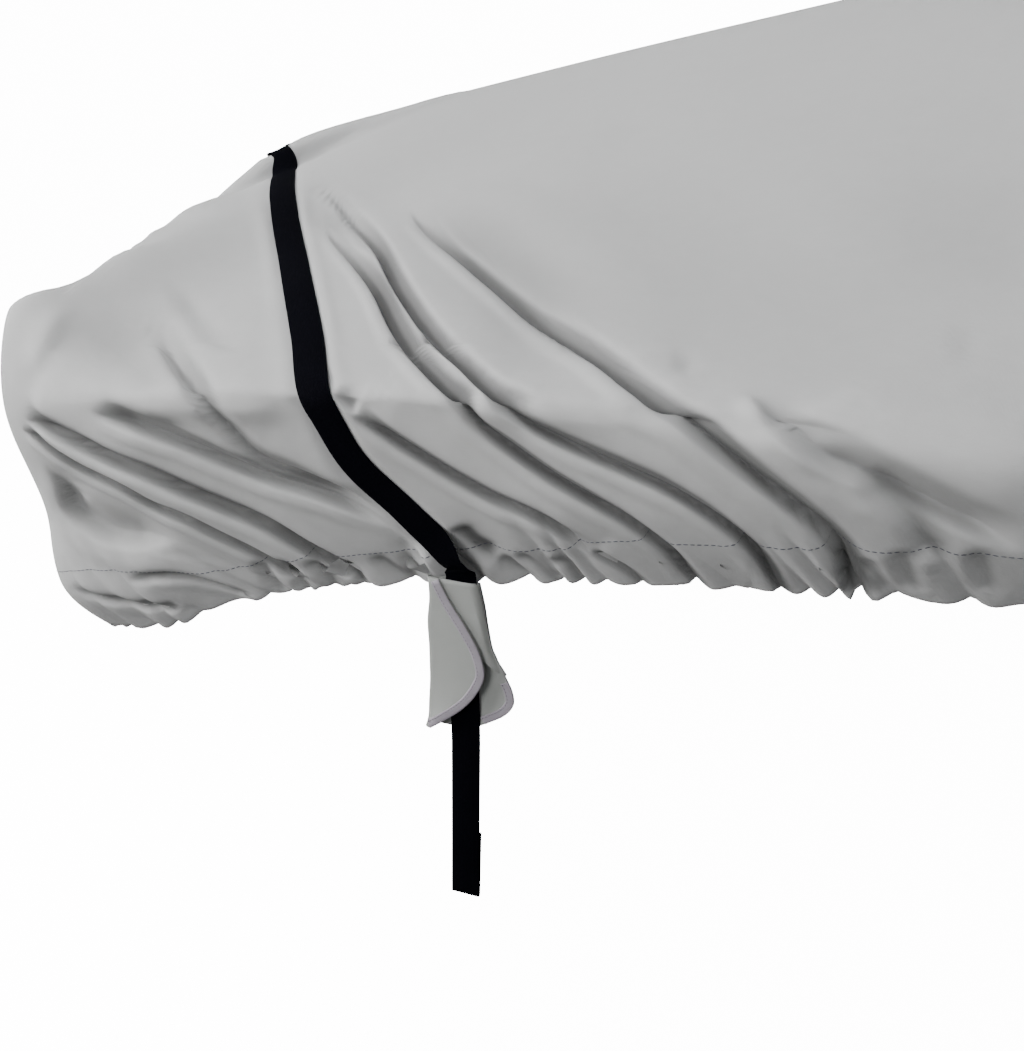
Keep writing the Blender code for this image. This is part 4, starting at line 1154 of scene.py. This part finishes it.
def make_tab(side_name, side, cover, finish):
    """The doubled webbing inside the hem at one stern corner."""
    run = np.full(2, -TAB_RUN * side) + (0.0, TAB_TURN)
    hem, beside = cover_points(run, np.full(2, 5.0))
    low = np.array(surface_of(cover).find_nearest(Vector(hem))[0])
    along = unit((beside - hem) * (1, 1, 0))
    inward = np.cross((0, 0, 1), along)
    heights = np.linspace(TAB_TOP, -TAB_DROP, TAB_LEVELS)
    path = low + inward * TAB_INSET + [(0, 0, z) for z in heights]
    made = add_strap(f"stern_tab_{side_name}_strap", path, np.tile(inward, (TAB_LEVELS, 1)),
                     np.tile(along, (TAB_LEVELS, 1)), strap_section(TAB_WIDTH, TAB_THICK), finish)
    finish_piece(made, "webbing", f"stern_tab_{side_name}")


# ---- floor, lights, camera
def make_floor():
    """Plain pale floor, which sends no light to the cover."""
    bpy.ops.object.select_all(action="DESELECT")
    bpy.ops.mesh.primitive_plane_add(size=FLOOR_SIZE, location=FLOOR_PLACE)
    floor = bpy.context.object
    floor.name = "studio_floor"
    floor.visible_diffuse = floor.visible_glossy = False
    s = Shader("studio floor", 0.9, 0.0, 0.1)
    s.surface.inputs["Emission Color"].default_value = (1.0, 1.0, 1.0, 1.0)
    s.surface.inputs["Emission Strength"].default_value = FLOOR_GLOW
    grain = s.noise(s.place(), 0.6, 2.0)
    floor.data.materials.append(s.finish(s.mix(grain, (0.93, 0.93, 0.93), (0.95, 0.95, 0.95))))


def make_lights():
    """Soft studio lights, and a sky that is bright above and dim below."""
    for name, where, size, power in LIGHTS:
        light = bpy.data.lights.new(name, "AREA")
        light.shape, light.size, light.energy = "SQUARE", size, power
        lamp = bpy.data.objects.new(name, light)
        bpy.context.scene.collection.objects.link(lamp)
        lamp.location = where
        aim = Vector(LIGHT_AIM) - Vector(where)
        lamp.rotation_euler = aim.to_track_quat("-Z", "Y").to_euler()
    world = bpy.data.worlds.new("studio")
    bpy.context.scene.world = world
    world.use_nodes = True
    tree = world.node_tree
    where = tree.nodes.new("ShaderNodeTexCoord")
    split = tree.nodes.new("ShaderNodeSeparateXYZ")
    ramp = tree.nodes.new("ShaderNodeMapRange")
    for key, value in SKY.items():
        ramp.inputs[key].default_value = value
    tree.links.new(where.outputs["Generated"], split.inputs[0])
    tree.links.new(split.outputs["Z"], ramp.inputs["Value"])
    back = tree.nodes["Background"]
    back.inputs["Color"].default_value = (0.95, 0.97, 1.0, 1)
    tree.links.new(ramp.outputs[0], back.inputs["Strength"])


def make_camera():
    """The camera at the stern's starboard side, looking down on the quarter."""
    camera = bpy.data.cameras.new("camera")
    camera.lens, camera.sensor_width, camera.clip_end = LENS, 36.0, 300.0
    eye = bpy.data.objects.new("camera", camera)
    bpy.context.scene.collection.objects.link(eye)
    eye.location = EYE
    eye.rotation_euler = (math.radians(90 - EYE_DOWN), 0.0, math.radians(EYE_TURN))
    bpy.context.scene.camera = eye


def main():
    cloth = cloth_finish("grey polyester", (0.506, 0.506, 0.500), (0.402, 0.402, 0.400), 0.0011)
    flap_cloth = cloth_finish("flap cloth", (0.40, 0.41, 0.39), (0.31, 0.32, 0.305), 0.0009)
    strap, tape = webbing_finish(), tape_finish()
    hem_thread = thread_finish("hem thread", (0.055, 0.055, 0.085))
    tape_thread = thread_finish("binding thread", (0.045, 0.038, 0.050))
    cover, points, normal, run, rows = make_cover(cloth)
    finish_piece(cover, "cover_cloth", "cover")
    # stitch line, read on the folded cloth and closed to a loop
    line_run, line_row = np.array(STITCH_LINE).T
    at = smooth_column(line_run, line_row, np.abs(run[:, -1]))
    path = np.array([[np.interp(row, rows, line[:len(rows), k]) for k in range(3)]
                     for row, line in zip(at, points)])
    out = np.array([line[np.searchsorted(rows, row)] for row, line in zip(at, normal)])
    stitching = make_stitches("hem_stitching", np.vstack([path, path[:1]]),
                              np.vstack([out, out[:1]]), hem_thread, "cover_cloth", HEM_STITCH)
    webbing, length = make_webbing(cover, strap)
    for side_name, side in (("starboard", -1), ("port", 1)):
        make_flap(side_name, side, flap_cloth)
        make_tab(side_name, side, cover, strap)
        for leaf in ("front", "back"):
            make_tape(side_name, leaf, side, tape, tape_thread)
    make_floor()
    make_lights()
    make_camera()


main()
